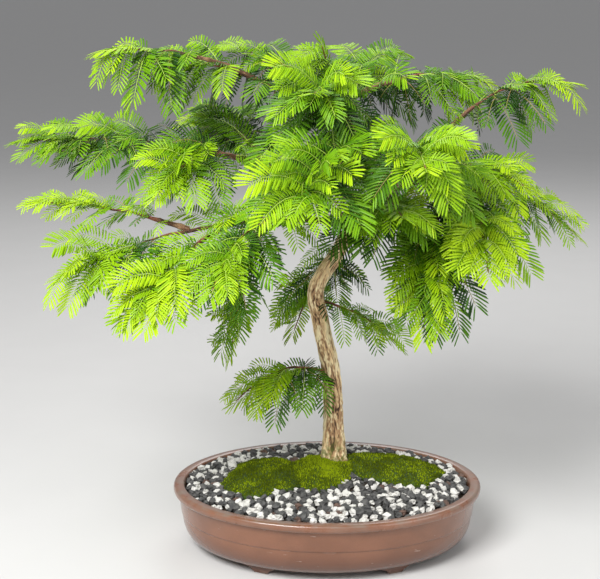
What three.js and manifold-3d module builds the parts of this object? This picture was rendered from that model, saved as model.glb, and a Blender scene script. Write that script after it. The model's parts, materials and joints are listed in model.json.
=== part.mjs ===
// Dawn redwood bonsai: a leaning tree with a wide layered crown, in an oval unglazed pot.
// Millimetres, +Z up. The origin is on the surface that the pot's feet stand on, under the
// middle of the whole tree. -Y is the front, and headings turn anticlockwise from +X.
import * as THREE from "three";
import { mergeVertices } from "three/addons/utils/BufferGeometryUtils.js";
import Module from "manifold-3d";

const wasm = await Module();
wasm.setup();

// Where the middle of the whole tree lies in the working frame, whose Y axis runs through
// the pot's middle; the finished group is moved so that this spot becomes the origin.
const MIDDLE_X = 1.6;
const MIDDLE_Y = 12.5;

// Driving dimensions: the pot
const POT_X = 30;
const RIM_HALF_LENGTH = 153;
const RIM_HALF_WIDTH = 115;
const POT_HEIGHT = 64;
const LIP_HEIGHT = 8.5;
const LIP_REACH = 4.5;
const WALL = 9;
const BAND_HEIGHT = 34;
const BAND_STEP = 0.9;
const FOOT_HEIGHT = 8;
const FLOOR_THICKNESS = 8;
const BASE_HALF_WIDTH = 92;
const RIM_SETBACK = 3;
const MOUTH_SETBACK = 2.5;
const FOOT_BEARING = 61;
const FOOT_DEPTH = 12;
const FOOT_INSET = 2.5;
const FOOT_PAD_HALF_WIDTH = 7;
const FOOT_TOP_HALF_WIDTH = 22;
const FOOT_BURIED = 3;
const POT_SEGMENTS = 32;

// The clearance between pieces that touch on the real tree
const GAP = 0.3;

// Driving dimensions: the ground in the pot, which mounds up to the trunk
const GROUND_EDGE = 58.5;
const GROUND_TOP = 74.9;
const GROUND_CURVE = 1.6;
const PLATEAU = 0.17;
const SOIL_SEGMENTS = POT_SEGMENTS / 2;
const LUMP_SPACING = 24;
const LUMP_PLAY = 0.3;
const LUMP_RADIUS = 5;
const LUMP_SLIMNESS = 0.85;
const LUMP_HEIGHT = 3.4;
const LUMP_SMALLEST = 0.85;
const LUMPS_A_COLUMN = 50;
const LUMP_EDGE = 0.93;
const LUMP_CLEARANCE = 1.14;
const MOSS_THICKNESS = 7;
const MOSS_SEGMENTS = 13;
const MOSS_ROWS = 5;
const MOSS_PATCHES = [
  { x: -64, y: -7, halfLength: 40, halfWidth: 46, wobble: 0.5 },
  { x: -6, y: -4, halfLength: 32, halfWidth: 40, wobble: 2.1 },
  { x: 68, y: 14, halfLength: 54, halfWidth: 42, wobble: 4.0 },
];

// Driving dimensions: the trunk, from its flat cut at ground level to the cut knuckle at its top
const TRUNK_LINE = [
  { x: 37.3, y: 22, z: 75.2, radius: 11.5 },
  { x: 36.5, y: 22, z: 119, radius: 9.6 },
  { x: 33.7, y: 22, z: 171.5, radius: 8.6 },
  { x: 23, y: 20, z: 223.6, radius: 7.9 },
  { x: 19, y: 18, z: 257, radius: 7.6 },
  { x: 38.5, y: 14, z: 291, radius: 6.8 },
  { x: 61.5, y: 10, z: 329, radius: 6 },
  { x: 89, y: 10, z: 356.5, radius: 5.1 },
  { x: 113, y: 12, z: 375.5, radius: 4.6 },
];
const TRUNK_SIDES = 12;
const TRUNK_STEPS = 15;
const RING_CROWDING = 1.15;
const FLARE = 0.34;
const FLARE_HEIGHT = 13;
const ROOT_LOBES = 5;
const FISSURE_DEPTH = 0.035;
const FISSURES = 7;

// Driving dimensions: limbs and foliage
const BOUGH_SIDES = 5;
const BOUGH_STEPS = 3;
const BOUGH_TIP_RADIUS = 1.1;
const BOUGH_SLENDERNESS = 0.011;
const TAPER_END = 0.7;
const STEM_RADIUS = 1.5;
const STEM_TAPER = 0.35;
const STEM_STEPS = 3;
const TERMINAL = 76;
const TERMINAL_SHARE = 0.7;
const TERMINAL_BARE = 0.86;
const TERMINAL_ARCH = 0.06;

// The shoots along a stem: their spacing, angles, lengths and the seeded play in each
const NODE_STEP = 18.5;
const FIRST_SHOOT = 8;
const LAST_SHOOT = 0.5;
const FEWEST_SHOOTS = 3;
const SHOOTS_A_ROW = 40;
const SPLAY = 68;
const SPLAY_LOSS = 26;
const HEADING_PLAY = 24;
const FALL_PLAY = 22;
const ROLL_PLAY = 50;
const SHORTEST = 0.62;
const LENGTH_PLAY = 0.24;
const DROOP = 0.1;
const SIZES = [1, 0.78, 0.58];

// At every fourth node a shorter spray rises over the stem, unless the limb hangs
const UPPER_EVERY = 4;
const UPPER_SPLAY = 38;
const UPPER_LENGTH = 0.64;
const UPPER_RISE = 16;
const HANGING_FALL = 42;

// A spray's blade
const SPRAY_RIDGE = 1.4;
const SPRAY_SLIMNESS = 0.27;
const SPRAY_RINGS = 6;
const NOTCH = 0.42;
const SPRAY_ROOT = 0.15;
const TOOTH_SWEEP = 0.45;

// A mass's own space: its stem is sampled, let down by HANG because the sprays hang under it
const STEM_SAMPLES = 16;
const AXIS_START = 0.08;
const HANG = 20;
const SPACE_SLACK = 10;
const TESTED_SHARES = [0.35, 0.6, 0.8, 1];

// Every limb: its parent and where it leaves it, then its tip as a heading round the trunk's
// foot, a reach from it and a height. Arch and bow bend it up and sideways. The part up to
// foot is the bare bough, and the rest carries foliage, with twigs of length spread whose
// sprays fall that many degrees below the level.
const LIMBS = [
  {
    name: "left_low", parent: "trunk", at: 0.72, heading: -154, reach: 278, height: 292,
    arch: 24, bow: 0, foot: 0.6, spread: 78, fall: 36,
  },
  {
    name: "left_low_front", parent: "left_low", at: 0.4, heading: -132, reach: 247, height: 262,
    arch: 16, bow: 8, foot: 0.34, spread: 76, fall: 44,
  },
  {
    name: "left_inner", parent: "left_low", at: 0.2, heading: -120, reach: 218, height: 292,
    arch: 20, bow: 10, foot: 0.4, spread: 72, fall: 48,
  },
  {
    name: "left_hang", parent: "left_low", at: 0.3, heading: -163, reach: 106, height: 194,
    arch: 22, bow: -8, foot: 0.4, spread: 60, fall: 60,
  },
  {
    name: "left_back_low", parent: "trunk", at: 0.66, heading: 134, reach: 60, height: 196,
    arch: 16, bow: 0, foot: 0.28, spread: 52, fall: 44,
  },
  {
    name: "left_pale", parent: "left_low", at: 0.57, heading: -166, reach: 288, height: 353,
    arch: 6, bow: 4, foot: 0.2, spread: 46, fall: 12,
  },
  {
    name: "left_far", parent: "trunk", at: 0.8, heading: 174, reach: 313, height: 395,
    arch: 24, bow: 0, foot: 0.46, spread: 66, fall: 28,
  },
  {
    name: "left_far_low", parent: "left_far", at: 0.42, heading: 162, reach: 308, height: 376,
    arch: 6, bow: 6, foot: 0.46, spread: 56, fall: 24,
  },
  {
    name: "left_mid", parent: "left_far", at: 0.35, heading: -150, reach: 188, height: 360,
    arch: 18, bow: 8, foot: 0.22, spread: 68, fall: 40,
  },
  {
    name: "back_left", parent: "left_far", at: 0.3, heading: 130, reach: 208, height: 384,
    arch: 20, bow: 0, foot: 0.34, spread: 84, fall: 36,
  },
  {
    name: "leader", parent: "trunk", at: 0.83, heading: -115, reach: 36, height: 496,
    arch: 0, bow: 14, foot: 0.62, spread: 74, fall: 24,
  },
  {
    name: "left_top", parent: "leader", at: 0.42, heading: 174, reach: 180, height: 478,
    arch: 18, bow: -8, foot: 0.5, spread: 68, fall: 40,
  },
  {
    name: "left_top_tip", parent: "left_top", at: 0.46, heading: -164, reach: 222, height: 487,
    arch: 12, bow: 6, foot: 0.5, spread: 68, fall: 62,
  },
  {
    name: "apex_left", parent: "leader", at: 0.535, heading: 166, reach: 112, height: 484,
    arch: 16, bow: 0, foot: 0.3, spread: 74, fall: 36,
  },
  {
    name: "back_high", parent: "leader", at: 0.5, heading: 74, reach: 150, height: 449,
    arch: 20, bow: 0, foot: 0.32, spread: 80, fall: 34,
  },
  {
    name: "front_top", parent: "leader", at: 0.34, heading: -100, reach: 128, height: 455,
    arch: 20, bow: 6, foot: 0.3, spread: 84, fall: 36,
  },
  {
    name: "front_left", parent: "leader", at: 0.25, heading: -103, reach: 205, height: 360,
    arch: 26, bow: -10, foot: 0.34, spread: 80, fall: 40,
  },
  {
    name: "front_right", parent: "trunk", at: 0.92, heading: -72, reach: 218, height: 400,
    arch: 24, bow: 0, foot: 0.36, spread: 80, fall: 38,
  },
  {
    name: "front_low", parent: "trunk", at: 0.76, heading: -70, reach: 158, height: 352,
    arch: 14, bow: 0, foot: 0, spread: 64, fall: 44,
  },
  {
    name: "right_top", parent: "trunk", at: 0.995, heading: -3, reach: 224, height: 455,
    arch: 31, bow: 0, foot: 0.34, spread: 60, fall: 40,
  },
  {
    name: "apex_right", parent: "leader", at: 0.6, heading: 22, reach: 162, height: 452,
    arch: 16, bow: 0, foot: 0.36, spread: 74, fall: 50,
  },
  {
    name: "right_mid", parent: "trunk", at: 0.93, heading: -22, reach: 192, height: 362,
    arch: 20, bow: 0, foot: 0.28, spread: 76, fall: 43,
  },
  {
    name: "right_far", parent: "trunk", at: 0.86, heading: 2, reach: 240, height: 304,
    arch: 32, bow: 0, foot: 0.53, spread: 54, fall: 44,
  },
  {
    name: "right_front", parent: "right_far", at: 0.5, heading: -50, reach: 200, height: 300,
    arch: 18, bow: 6, foot: 0.22, spread: 68, fall: 48,
  },
  {
    name: "right_hang", parent: "right_far", at: 0.36, heading: -54, reach: 132, height: 234,
    arch: 26, bow: 6, foot: 0.3, spread: 84, fall: 62,
  },
  {
    name: "right_back", parent: "right_far", at: 0.44, heading: 40, reach: 184, height: 304,
    arch: 22, bow: 0, foot: 0.32, spread: 66, fall: 30,
  },
  {
    name: "back", parent: "trunk", at: 0.89, heading: 88, reach: 182, height: 368,
    arch: 24, bow: 0, foot: 0.32, spread: 84, fall: 38,
  },
  {
    name: "behind_trunk", parent: "trunk", at: 0.6, heading: 86, reach: 52, height: 230,
    arch: 14, bow: 0, foot: 0, spread: 46, fall: 46,
  },
  {
    name: "low_left", parent: "trunk", at: 0.24, heading: -160, reach: 106, height: 147,
    arch: 20, bow: 0, foot: 0, spread: 68, fall: 64,
  },
  {
    name: "low_right", parent: "trunk", at: 0.45, heading: -12, reach: 64, height: 201,
    arch: 8, bow: 0, foot: 0, spread: 36, fall: 52,
  },
];

const UP = new THREE.Vector3(0, 0, 1);
const NEARLY_ZERO = 1e-6;
const TRIANGLE_CORNER = 2 / Math.sqrt(3);
const radians = THREE.MathUtils.degToRad;
const { clamp, lerp } = THREE.MathUtils;

// The same number from 0 to 1 each time for the same two whole numbers.
function chance(row, draw) {
  const wave = Math.sin(row * 12.9898 + draw * 78.233) * 43758.5453;
  return wave - Math.floor(wave);
}

// Moves each vertex of a closed geometry to where place() puts it, and keeps the faces.
function warped(geometry, place) {
  const shape = geometry.clone();
  const spots = shape.attributes.position;
  const vertex = new THREE.Vector3();
  for (let i = 0; i < spots.count; i += 1) {
    vertex.fromBufferAttribute(spots, i);
    const moved = place(vertex);
    spots.setXYZ(i, moved.x, moved.y, moved.z);
  }
  return shape;
}

function solidOf(geometry) {
  const bare = geometry.clone();
  bare.deleteAttribute("normal");
  bare.deleteAttribute("uv");
  const merged = mergeVertices(bare, 1e-4);
  return new wasm.Manifold(
    new wasm.Mesh({
      numProp: 3,
      vertProperties: new Float32Array(merged.attributes.position.array),
      triVerts: new Uint32Array(merged.index.array),
    }),
  );
}

function geometryOf(solid) {
  const mesh = solid.getMesh();
  const geometry = new THREE.BufferGeometry();
  const spots = new Float32Array(mesh.numVert * 3);
  for (let i = 0; i < mesh.numVert; i += 1) {
    for (let axis = 0; axis < 3; axis += 1) {
      spots[i * 3 + axis] = mesh.vertProperties[i * mesh.numProp + axis];
    }
  }
  geometry.setAttribute("position", new THREE.BufferAttribute(spots, 3));
  geometry.setIndex(new THREE.BufferAttribute(new Uint32Array(mesh.triVerts), 1));
  geometry.computeVertexNormals();
  return geometry;
}

const joined = (solids) => solids.reduce((whole, piece) => whole.add(piece));

// A cut can leave a loose scrap, which is dropped: only the largest body stays.
const largest = (solid) =>
  solid.decompose().reduce((big, body) => (body.volume() > big.volume() ? body : big));

// A curve from one point to another, lifted and pushed aside most at its middle.
function arc(start, end, rise, bow, heading) {
  const side = sideways(heading);
  return (t) => {
    const swell = 4 * t * (1 - t);
    return start
      .clone()
      .lerp(end, t)
      .addScaledVector(UP, rise * swell)
      .addScaledVector(side, bow * swell);
  };
}

// The level direction to the right of a heading.
function sideways(heading) {
  return new THREE.Vector3(Math.sin(heading), -Math.cos(heading), 0);
}

function tangent(point, t) {
  const step = 0.01;
  const from = Math.min(Math.max(t - step, 0), 1 - 2 * step);
  return point(from + 2 * step).sub(point(from)).normalize();
}

// A closed tapering tube along a curve, from one fraction of it to another.
function tube(point, heading, from, to, radiusAt, sides, steps) {
  const side = sideways(heading);
  const round = new THREE.CylinderGeometry(1, 1, 1, sides, steps);
  return warped(round, (v) => {
    const t = lerp(from, to, v.y + 0.5);
    const over = side.clone().cross(tangent(point, t)).normalize();
    const radius = radiusAt(t);
    return point(t).addScaledVector(side, v.x * radius).addScaledVector(over, v.z * radius);
  });
}

// A spray of needles as a toothed blade: three corners run along its rib, two out to the
// teeth and one up to the ridge, wide and narrow by turns.
function spray(point, heading, length, roll) {
  const level = sideways(heading);
  const halfWidth = length * SPRAY_SLIMNESS;
  const cone = new THREE.ConeGeometry(1, 1, 3, SPRAY_RINGS);
  return warped(cone, (v) => {
    const s = v.y + 0.5;
    const ring = Math.round(s * SPRAY_RINGS);
    const tooth = ring % 2 === 1;
    const full = Math.sin(Math.PI * (0.22 + 0.66 * s)) * (tooth ? 1 : NOTCH);
    const reach = Math.max(1 - s, NEARLY_ZERO);
    const isRib = ring === SPRAY_RINGS || Math.hypot(v.x, v.z) < NEARLY_ZERO;
    const width = isRib ? 0 : halfWidth * full * (ring === 0 ? SPRAY_ROOT : 1);
    const along = tangent(point, s);
    const side = level.clone().applyAxisAngle(along, roll);
    const over = side.clone().cross(along).normalize();
    const out = isRib ? 0 : (v.x / reach) * TRIANGLE_CORNER * width;
    const ridge = isRib ? 0 : (v.z / reach) * SPRAY_RIDGE;
    const sweep = Math.abs(out) * TOOTH_SWEEP;
    return point(s)
      .addScaledVector(side, out)
      .addScaledVector(over, ridge)
      .addScaledVector(along, tooth ? sweep : 0);
  });
}

// The trunk's line and thickness
const trunkCurve = new THREE.CatmullRomCurve3(
  TRUNK_LINE.map((spot) => new THREE.Vector3(spot.x, spot.y, spot.z)),
  false,
  "catmullrom",
  0.5,
);
const trunkPoint = (t) => trunkCurve.getPoint(clamp(t, 0, 1));
const trunkFoot = trunkPoint(0);

function trunkRadius(t) {
  const station = clamp(t, 0, 1) * (TRUNK_LINE.length - 1);
  const below = Math.min(Math.floor(station), TRUNK_LINE.length - 2);
  return lerp(TRUNK_LINE[below].radius, TRUNK_LINE[below + 1].radius, station - below);
}

// The trunk as a warped cylinder: its rings lie square to its line, the first one level, and
// root lobes swell the rings nearest the ground. Grown and lowered copies serve as cutters.
function trunkSolid(extra = 0, lower = 0) {
  const round = new THREE.CylinderGeometry(1, 1, 1, TRUNK_SIDES, TRUNK_STEPS);
  const front = new THREE.Vector3(0, 1, 0);
  return solidOf(
    warped(round, (v) => {
      const t = (v.y + 0.5) ** RING_CROWDING;
      const centre = trunkPoint(t);
      const along = t === 0 ? UP : tangent(trunkPoint, t);
      const side = front.clone().cross(along).normalize();
      const depth = side.clone().cross(along).normalize();
      const turn = Math.atan2(v.x, v.z);
      const lobes = 0.6 + 0.4 * Math.cos(ROOT_LOBES * turn + 0.7);
      const flare = 1 + FLARE * lobes * Math.exp(-(centre.z - trunkFoot.z) / FLARE_HEIGHT);
      const fissure = 1 + FISSURE_DEPTH * Math.cos(FISSURES * turn + 4 * t);
      const radius = trunkRadius(t) * flare * fissure + extra;
      return centre
        .addScaledVector(side, v.x * radius)
        .addScaledVector(depth, v.z * radius)
        .addScaledVector(UP, -lower);
    }),
  );
}

// Gives each limb its root, tip, curve and thickness, once its parent has them.
const limbs = new Map();
LIMBS.forEach((row, index) => {
  const parent = limbs.get(row.parent);
  const root = parent ? parent.point(row.at) : trunkPoint(row.at);
  const bearing = radians(row.heading);
  const tip = new THREE.Vector3(
    trunkFoot.x + row.reach * Math.cos(bearing),
    trunkFoot.y + row.reach * Math.sin(bearing),
    row.height,
  );
  const heading = Math.atan2(tip.y - root.y, tip.x - root.x);
  const length = root.distanceTo(tip);
  const point = arc(root, tip, row.arch, row.bow, heading);
  const thick = BOUGH_TIP_RADIUS + length * BOUGH_SLENDERNESS;
  const radiusAt = (t) => lerp(thick, BOUGH_TIP_RADIUS, Math.min(t / TAPER_END, 1));
  limbs.set(row.name, { ...row, index, tip, heading, length, point, radiusAt });
});
const ALL_LIMBS = [...limbs.values()];

ALL_LIMBS.forEach((limb) => {
  limb.axis = Array.from({ length: STEM_SAMPLES }, (_, k) => {
    const t = lerp(Math.max(limb.foot, AXIS_START), 1, k / (STEM_SAMPLES - 1));
    return limb.point(t).addScaledVector(UP, -HANG);
  });
});

const distanceTo = (limb, spot) => Math.min(...limb.axis.map((sample) => sample.distanceTo(spot)));

// A spot is in a mass's own space where that mass's stem is the nearest of all, or nearly so.
function inOwnSpace(limb, spot) {
  const own = distanceTo(limb, spot) - SPACE_SLACK;
  return ALL_LIMBS.every((other) => other === limb || distanceTo(other, spot) > own);
}

const keepsToOwnSpace = (limb, point) =>
  TESTED_SHARES.every((s) => inOwnSpace(limb, point(s)));

const terminalLength = (limb) =>
  Math.min(TERMINAL, limb.length * (1 - limb.foot) * TERMINAL_SHARE);

// The seeded rule: shoots leave the stem by turns to its left and right, longest near the
// middle, and each falls below the level as its limb says.
function shootsOf(limb) {
  const first = limb.foot + FIRST_SHOOT / limb.length;
  const last = 1 - (terminalLength(limb) * LAST_SHOOT) / limb.length;
  const steps = Math.round(((last - first) * limb.length) / NODE_STEP);
  const count = Math.max(FEWEST_SHOOTS, steps + 1);
  return Array.from({ length: count }, (_, k) => {
    const f = k / (count - 1);
    const hand = k % 2 === 0 ? 1 : -1;
    const row = limb.index * SHOOTS_A_ROW + k;
    const splay = radians(SPLAY - SPLAY_LOSS * f) * hand;
    const swell = Math.sin(Math.PI * Math.min(f * 1.15, 1));
    const profile = SHORTEST + (1 - SHORTEST) * swell;
    return {
      hand,
      t: lerp(first, last, f),
      heading: limb.heading + splay + radians(HEADING_PLAY * (chance(row, 1) - 0.5)),
      length: limb.spread * profile * (1 + LENGTH_PLAY * (chance(row, 2) - 0.5)),
      fall: radians(limb.fall + FALL_PLAY * (chance(row, 3) - 0.5)),
      roll: radians(ROLL_PLAY * (chance(row, 4) - 0.5)),
    };
  });
}

// The upper sprays, which lean forward by turns to the left and right and rise over the stem.
function uppersOf(limb) {
  return shootsOf(limb)
    .map(({ hand, t }, k) => {
      const row = limb.index * SHOOTS_A_ROW + k;
      return {
        t,
        heading: limb.heading + radians(UPPER_SPLAY * hand + HEADING_PLAY * (chance(row, 5) - 0.5)),
        length: limb.spread * UPPER_LENGTH * (1 + LENGTH_PLAY * (chance(row, 6) - 0.5)),
        fall: -radians(UPPER_RISE + FALL_PLAY * (chance(row, 7) - 0.5)),
        roll: radians(ROLL_PLAY * (chance(row, 8) - 0.5)),
      };
    })
    .filter((_, k) => k % UPPER_EVERY === 1 && limb.fall < HANGING_FALL);
}

// A curve that leaves its start nearly level and bends down to its fall.
function drooping(start, heading, length, fall) {
  const level = new THREE.Vector3(Math.cos(heading), Math.sin(heading), 0);
  const end = start
    .clone()
    .addScaledVector(level, length * Math.cos(fall))
    .addScaledVector(UP, -length * Math.sin(fall));
  return arc(start, end, length * DROOP, 0, heading);
}

// Tries a shoot at full size, then smaller, and keeps the first that stays in the mass's
// own space and touches nothing that is there already.
function grow(limb, shoot, placed) {
  for (const size of SIZES) {
    const length = shoot.length * size;
    const point = drooping(limb.point(shoot.t), shoot.heading, length, shoot.fall);
    if (!keepsToOwnSpace(limb, point)) {
      continue;
    }
    const blade = solidOf(spray(point, shoot.heading, length, shoot.roll));
    if (placed.every((other) => blade.intersect(other).isEmpty())) {
      return blade;
    }
  }
  return null;
}

// The stem of a mass, its terminal spray at the limb's tip, and the shoots that fit.
function foliageSolid(limb, placed) {
  const from = limb.foot === 0 ? 0 : limb.foot + GAP / limb.length;
  const terminal = terminalLength(limb);
  const end = 1 - (terminal * TERMINAL_BARE) / limb.length;
  const thin = (t) => STEM_RADIUS * (1 - STEM_TAPER * t);
  const stem = solidOf(tube(limb.point, limb.heading, from, end, thin, 3, STEM_STEPS));
  const start = limb.point(1 - terminal / limb.length);
  const point = arc(start, limb.tip, terminal * TERMINAL_ARCH, 0, limb.heading);
  const leading = solidOf(spray(point, limb.heading, terminal, 0));
  const shoots = [...shootsOf(limb), ...uppersOf(limb)]
    .map((shoot) => grow(limb, shoot, placed))
    .filter((blade) => blade !== null);
  const mass = joined([stem, leading, ...shoots]);
  return largest(limb.foot === 0 ? mass.subtract(trunkSolid(GAP)) : mass);
}

// The bare bough of a limb, up to its foliage. A grown copy serves as a cutter.
function bareBough({ point, heading, foot, radiusAt }, extra = 0) {
  const radius = (t) => radiusAt(t) + extra;
  return solidOf(tube(point, heading, 0, foot, radius, BOUGH_SIDES, BOUGH_STEPS));
}

// A bough from its parent's middle, cut clear of the parent. A five-sided tube's faces lie
// nearer its middle than its edges, so the cutter is grown by a little more than the gap.
function boughSolid(limb) {
  const parent = limbs.get(limb.parent);
  const cutter = parent ? bareBough(parent, GAP * 1.3) : trunkSolid(GAP);
  return largest(bareBough(limb).subtract(cutter));
}

// Maps a lathe's circle to the pot's oval: the wall keeps its thickness all the way round,
// because each ring is the rim's oval moved in square to itself.
function onOval(across, turn) {
  if (across < NEARLY_ZERO) {
    return new THREE.Vector2(0, 0);
  }
  const c = Math.cos(turn);
  const s = Math.sin(turn);
  const normal = new THREE.Vector2(c / RIM_HALF_LENGTH, s / RIM_HALF_WIDTH).normalize();
  const inset = across - RIM_HALF_WIDTH;
  return new THREE.Vector2(RIM_HALF_LENGTH * c, RIM_HALF_WIDTH * s).addScaledVector(normal, inset);
}

const onPot = (across, turn, z) => {
  const spot = onOval(across, turn);
  return new THREE.Vector3(POT_X + spot.x, spot.y, z);
};

// A closed solid turned from an outline of half width and height, then made oval by place().
function turned(outline, segments, place) {
  const lathe = new THREE.LatheGeometry(
    outline.map(([across, z]) => new THREE.Vector2(across, z)),
    segments,
  );
  return solidOf(
    warped(lathe, (v) => place(Math.hypot(v.x, v.z), Math.atan2(-v.z, v.x), v.y)),
  );
}

const WALL_TOP = RIM_HALF_WIDTH - LIP_REACH;
const BAND_HALF_WIDTH = WALL_TOP - RIM_SETBACK;
const MOUTH = WALL_TOP + MOUTH_SETBACK - WALL;
const POT_FLOOR = FOOT_HEIGHT + FLOOR_THICKNESS;
const FLOOR_HALF_WIDTH = BASE_HALF_WIDTH - WALL + 2;

// The pot's outline: a bowl below the band, a straight wall above it, a rounded lip, and the
// inside back down to the floor.
function potOutline() {
  const bellyReach = BAND_HALF_WIDTH - BAND_STEP - BASE_HALF_WIDTH;
  const bellyRise = BAND_HEIGHT - FOOT_HEIGHT;
  const belly = [0, 0.35, 0.7, 1].map((u) => [
    BASE_HALF_WIDTH + bellyReach * Math.sin((u * Math.PI) / 2),
    FOOT_HEIGHT + bellyRise * (1 - Math.cos((u * Math.PI) / 2)),
  ]);
  const lipFoot = POT_HEIGHT - LIP_HEIGHT;
  return [
    [0, FOOT_HEIGHT],
    ...belly,
    [BAND_HALF_WIDTH, BAND_HEIGHT + 0.8],
    [WALL_TOP, lipFoot],
    [RIM_HALF_WIDTH - 0.8, lipFoot + 1.2],
    [RIM_HALF_WIDTH, lipFoot + 4],
    [RIM_HALF_WIDTH - 1.2, POT_HEIGHT - 1.2],
    [RIM_HALF_WIDTH - 3.6, POT_HEIGHT],
    [MOUTH + 1.2, POT_HEIGHT - 0.4],
    [MOUTH, POT_HEIGHT - 2.4],
    [BAND_HALF_WIDTH - WALL, BAND_HEIGHT],
    [FLOOR_HALF_WIDTH, POT_FLOOR],
    [0, POT_FLOOR],
  ];
}

// One bracket foot: broad where it meets the pot, sweeping in to a small flat pad, with its
// top sunk in the pot's floor.
function footSolid(turn) {
  const pad = FOOT_PAD_HALF_WIDTH;
  const broad = FOOT_TOP_HALF_WIDTH;
  const shoulder = FOOT_HEIGHT - 1;
  const top = FOOT_HEIGHT + FOOT_BURIED;
  const outline = new THREE.Shape();
  outline.moveTo(-pad, 0);
  outline.lineTo(pad, 0);
  outline.quadraticCurveTo(pad + 2, 5.5, broad, shoulder);
  outline.lineTo(broad - 2, top);
  outline.lineTo(2 - broad, top);
  outline.lineTo(-broad, shoulder);
  outline.quadraticCurveTo(-pad - 2, 5.5, -pad, 0);
  const bracket = new THREE.ExtrudeGeometry(outline, {
    depth: FOOT_DEPTH,
    bevelEnabled: false,
    curveSegments: 4,
  });
  const edge = onOval(BASE_HALF_WIDTH - FOOT_INSET, turn);
  const outward = onOval(BASE_HALF_WIDTH, turn).sub(edge).normalize();
  return solidOf(
    warped(bracket, (v) => {
      const inward = FOOT_DEPTH - v.z;
      return new THREE.Vector3(
        POT_X + edge.x - outward.y * v.x - outward.x * inward,
        edge.y + outward.x * v.x - outward.y * inward,
        v.y,
      );
    }),
  );
}

function potSolid() {
  const bowl = turned(potOutline(), POT_SEGMENTS, onPot);
  const bearings = [FOOT_BEARING, 180 - FOOT_BEARING, 180 + FOOT_BEARING, -FOOT_BEARING];
  return joined([bowl, ...bearings.map((bearing) => footSolid(radians(bearing)))]);
}

// The ground: level lines are the pot's oval shrunk towards the trunk's foot, and share is
// how far out a level line lies, from 0 at the trunk to 1 at the wall. Its edge stays clear of
// the wall, also where its fewer segments cut across the wall's.
const GROUND_HALF_WIDTH = MOUTH - 1;
const GROUND_HALF_LENGTH = GROUND_HALF_WIDTH + RIM_HALF_LENGTH - RIM_HALF_WIDTH;

function groundHeight(share) {
  const out = Math.max(share - PLATEAU, 0) / (1 - PLATEAU);
  return GROUND_TOP - (GROUND_TOP - GROUND_EDGE) * out ** GROUND_CURVE;
}

// The share at a place, from the quadratic that puts the place on the shrunk oval.
function groundShare(x, y) {
  const cx = (trunkFoot.x - POT_X) / GROUND_HALF_LENGTH;
  const cy = trunkFoot.y / GROUND_HALF_WIDTH;
  const wx = (x - POT_X) / GROUND_HALF_LENGTH - cx;
  const wy = y / GROUND_HALF_WIDTH - cy;
  const lead = wx * cx + wy * cy;
  const room = 1 - cx * cx - cy * cy;
  return (lead + Math.sqrt(lead * lead + room * (wx * wx + wy * wy))) / room;
}

// How far out a place lies on a patch of moss, from 0 at its middle to 1 at its wavering edge.
function mossShare({ x, y, halfLength, halfWidth, wobble }, east, north) {
  const across = (east - POT_X - x) / halfLength;
  const up = -(north - y) / halfWidth;
  return Math.hypot(across, up) / waver(Math.atan2(up, across), wobble);
}

const waver = (turn, wobble) =>
  1 + 0.07 * Math.sin(3 * turn + wobble) + 0.05 * Math.sin(5 * turn - wobble);

// The bigger stones of the gravel: low lumps in a loose honeycomb, half sunk in the ground,
// clear of the moss, the trunk and the wall.
function lumps() {
  const rowStep = (LUMP_SPACING * Math.sqrt(3)) / 2;
  const columns = Math.ceil(GROUND_HALF_LENGTH / LUMP_SPACING);
  const rows = Math.ceil(GROUND_HALF_WIDTH / rowStep);
  const made = [];
  for (let i = -columns; i <= columns; i += 1) {
    for (let j = -rows; j <= rows; j += 1) {
      const row = (i + columns) * LUMPS_A_COLUMN + j + rows;
      const shift = Math.abs(j % 2) / 2;
      const east = POT_X + LUMP_SPACING * (i + shift + LUMP_PLAY * (chance(row, 1) - 0.5));
      const north = rowStep * (j + LUMP_PLAY * (chance(row, 2) - 0.5));
      const share = groundShare(east, north);
      const onMoss = MOSS_PATCHES.some((patch) => mossShare(patch, east, north) < LUMP_CLEARANCE);
      const atTrunk = Math.hypot(east - trunkFoot.x, north - trunkFoot.y) < LUMP_SPACING;
      if (share > LUMP_EDGE || onMoss || atTrunk) {
        continue;
      }
      const size = LUMP_SMALLEST + LUMP_PLAY * chance(row, 3);
      const stone = new THREE.OctahedronGeometry(1, 0);
      const turn = 2 * Math.PI * chance(row, 4);
      made.push(
        solidOf(
          warped(stone, (v) => {
            const flat = new THREE.Vector3(v.x, v.z * LUMP_SLIMNESS, 0);
            flat.applyAxisAngle(UP, turn).multiplyScalar(LUMP_RADIUS * size);
            const z = groundHeight(share) - v.y * LUMP_HEIGHT * size;
            return new THREE.Vector3(east + flat.x, north + flat.y, z);
          }),
        ),
      );
    }
  }
  return made;
}

// The soil fills the pot 0.3 mm clear of it and mounds up to the trunk.
function soilSolid(raise = 0) {
  const rings = [1, 0.86, 0.7, 0.52, 0.34, PLATEAU, 0];
  const outline = [
    [0, POT_FLOOR + GAP],
    [FLOOR_HALF_WIDTH - GAP, POT_FLOOR + GAP],
    [BAND_HALF_WIDTH - WALL - GAP, BAND_HEIGHT],
    ...rings.map((share) => [GROUND_HALF_WIDTH * share, groundHeight(share)]),
  ];
  return turned(outline, SOIL_SEGMENTS, (across, turn, z) => {
    if (z < GROUND_EDGE - GAP) {
      return onPot(across, turn, z + raise);
    }
    const share = across / GROUND_HALF_WIDTH;
    const edge = onPot(GROUND_HALF_WIDTH, turn, z + raise);
    const level = new THREE.Vector3(trunkFoot.x, trunkFoot.y, z + raise);
    return level.lerp(edge, share);
  });
}

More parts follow.
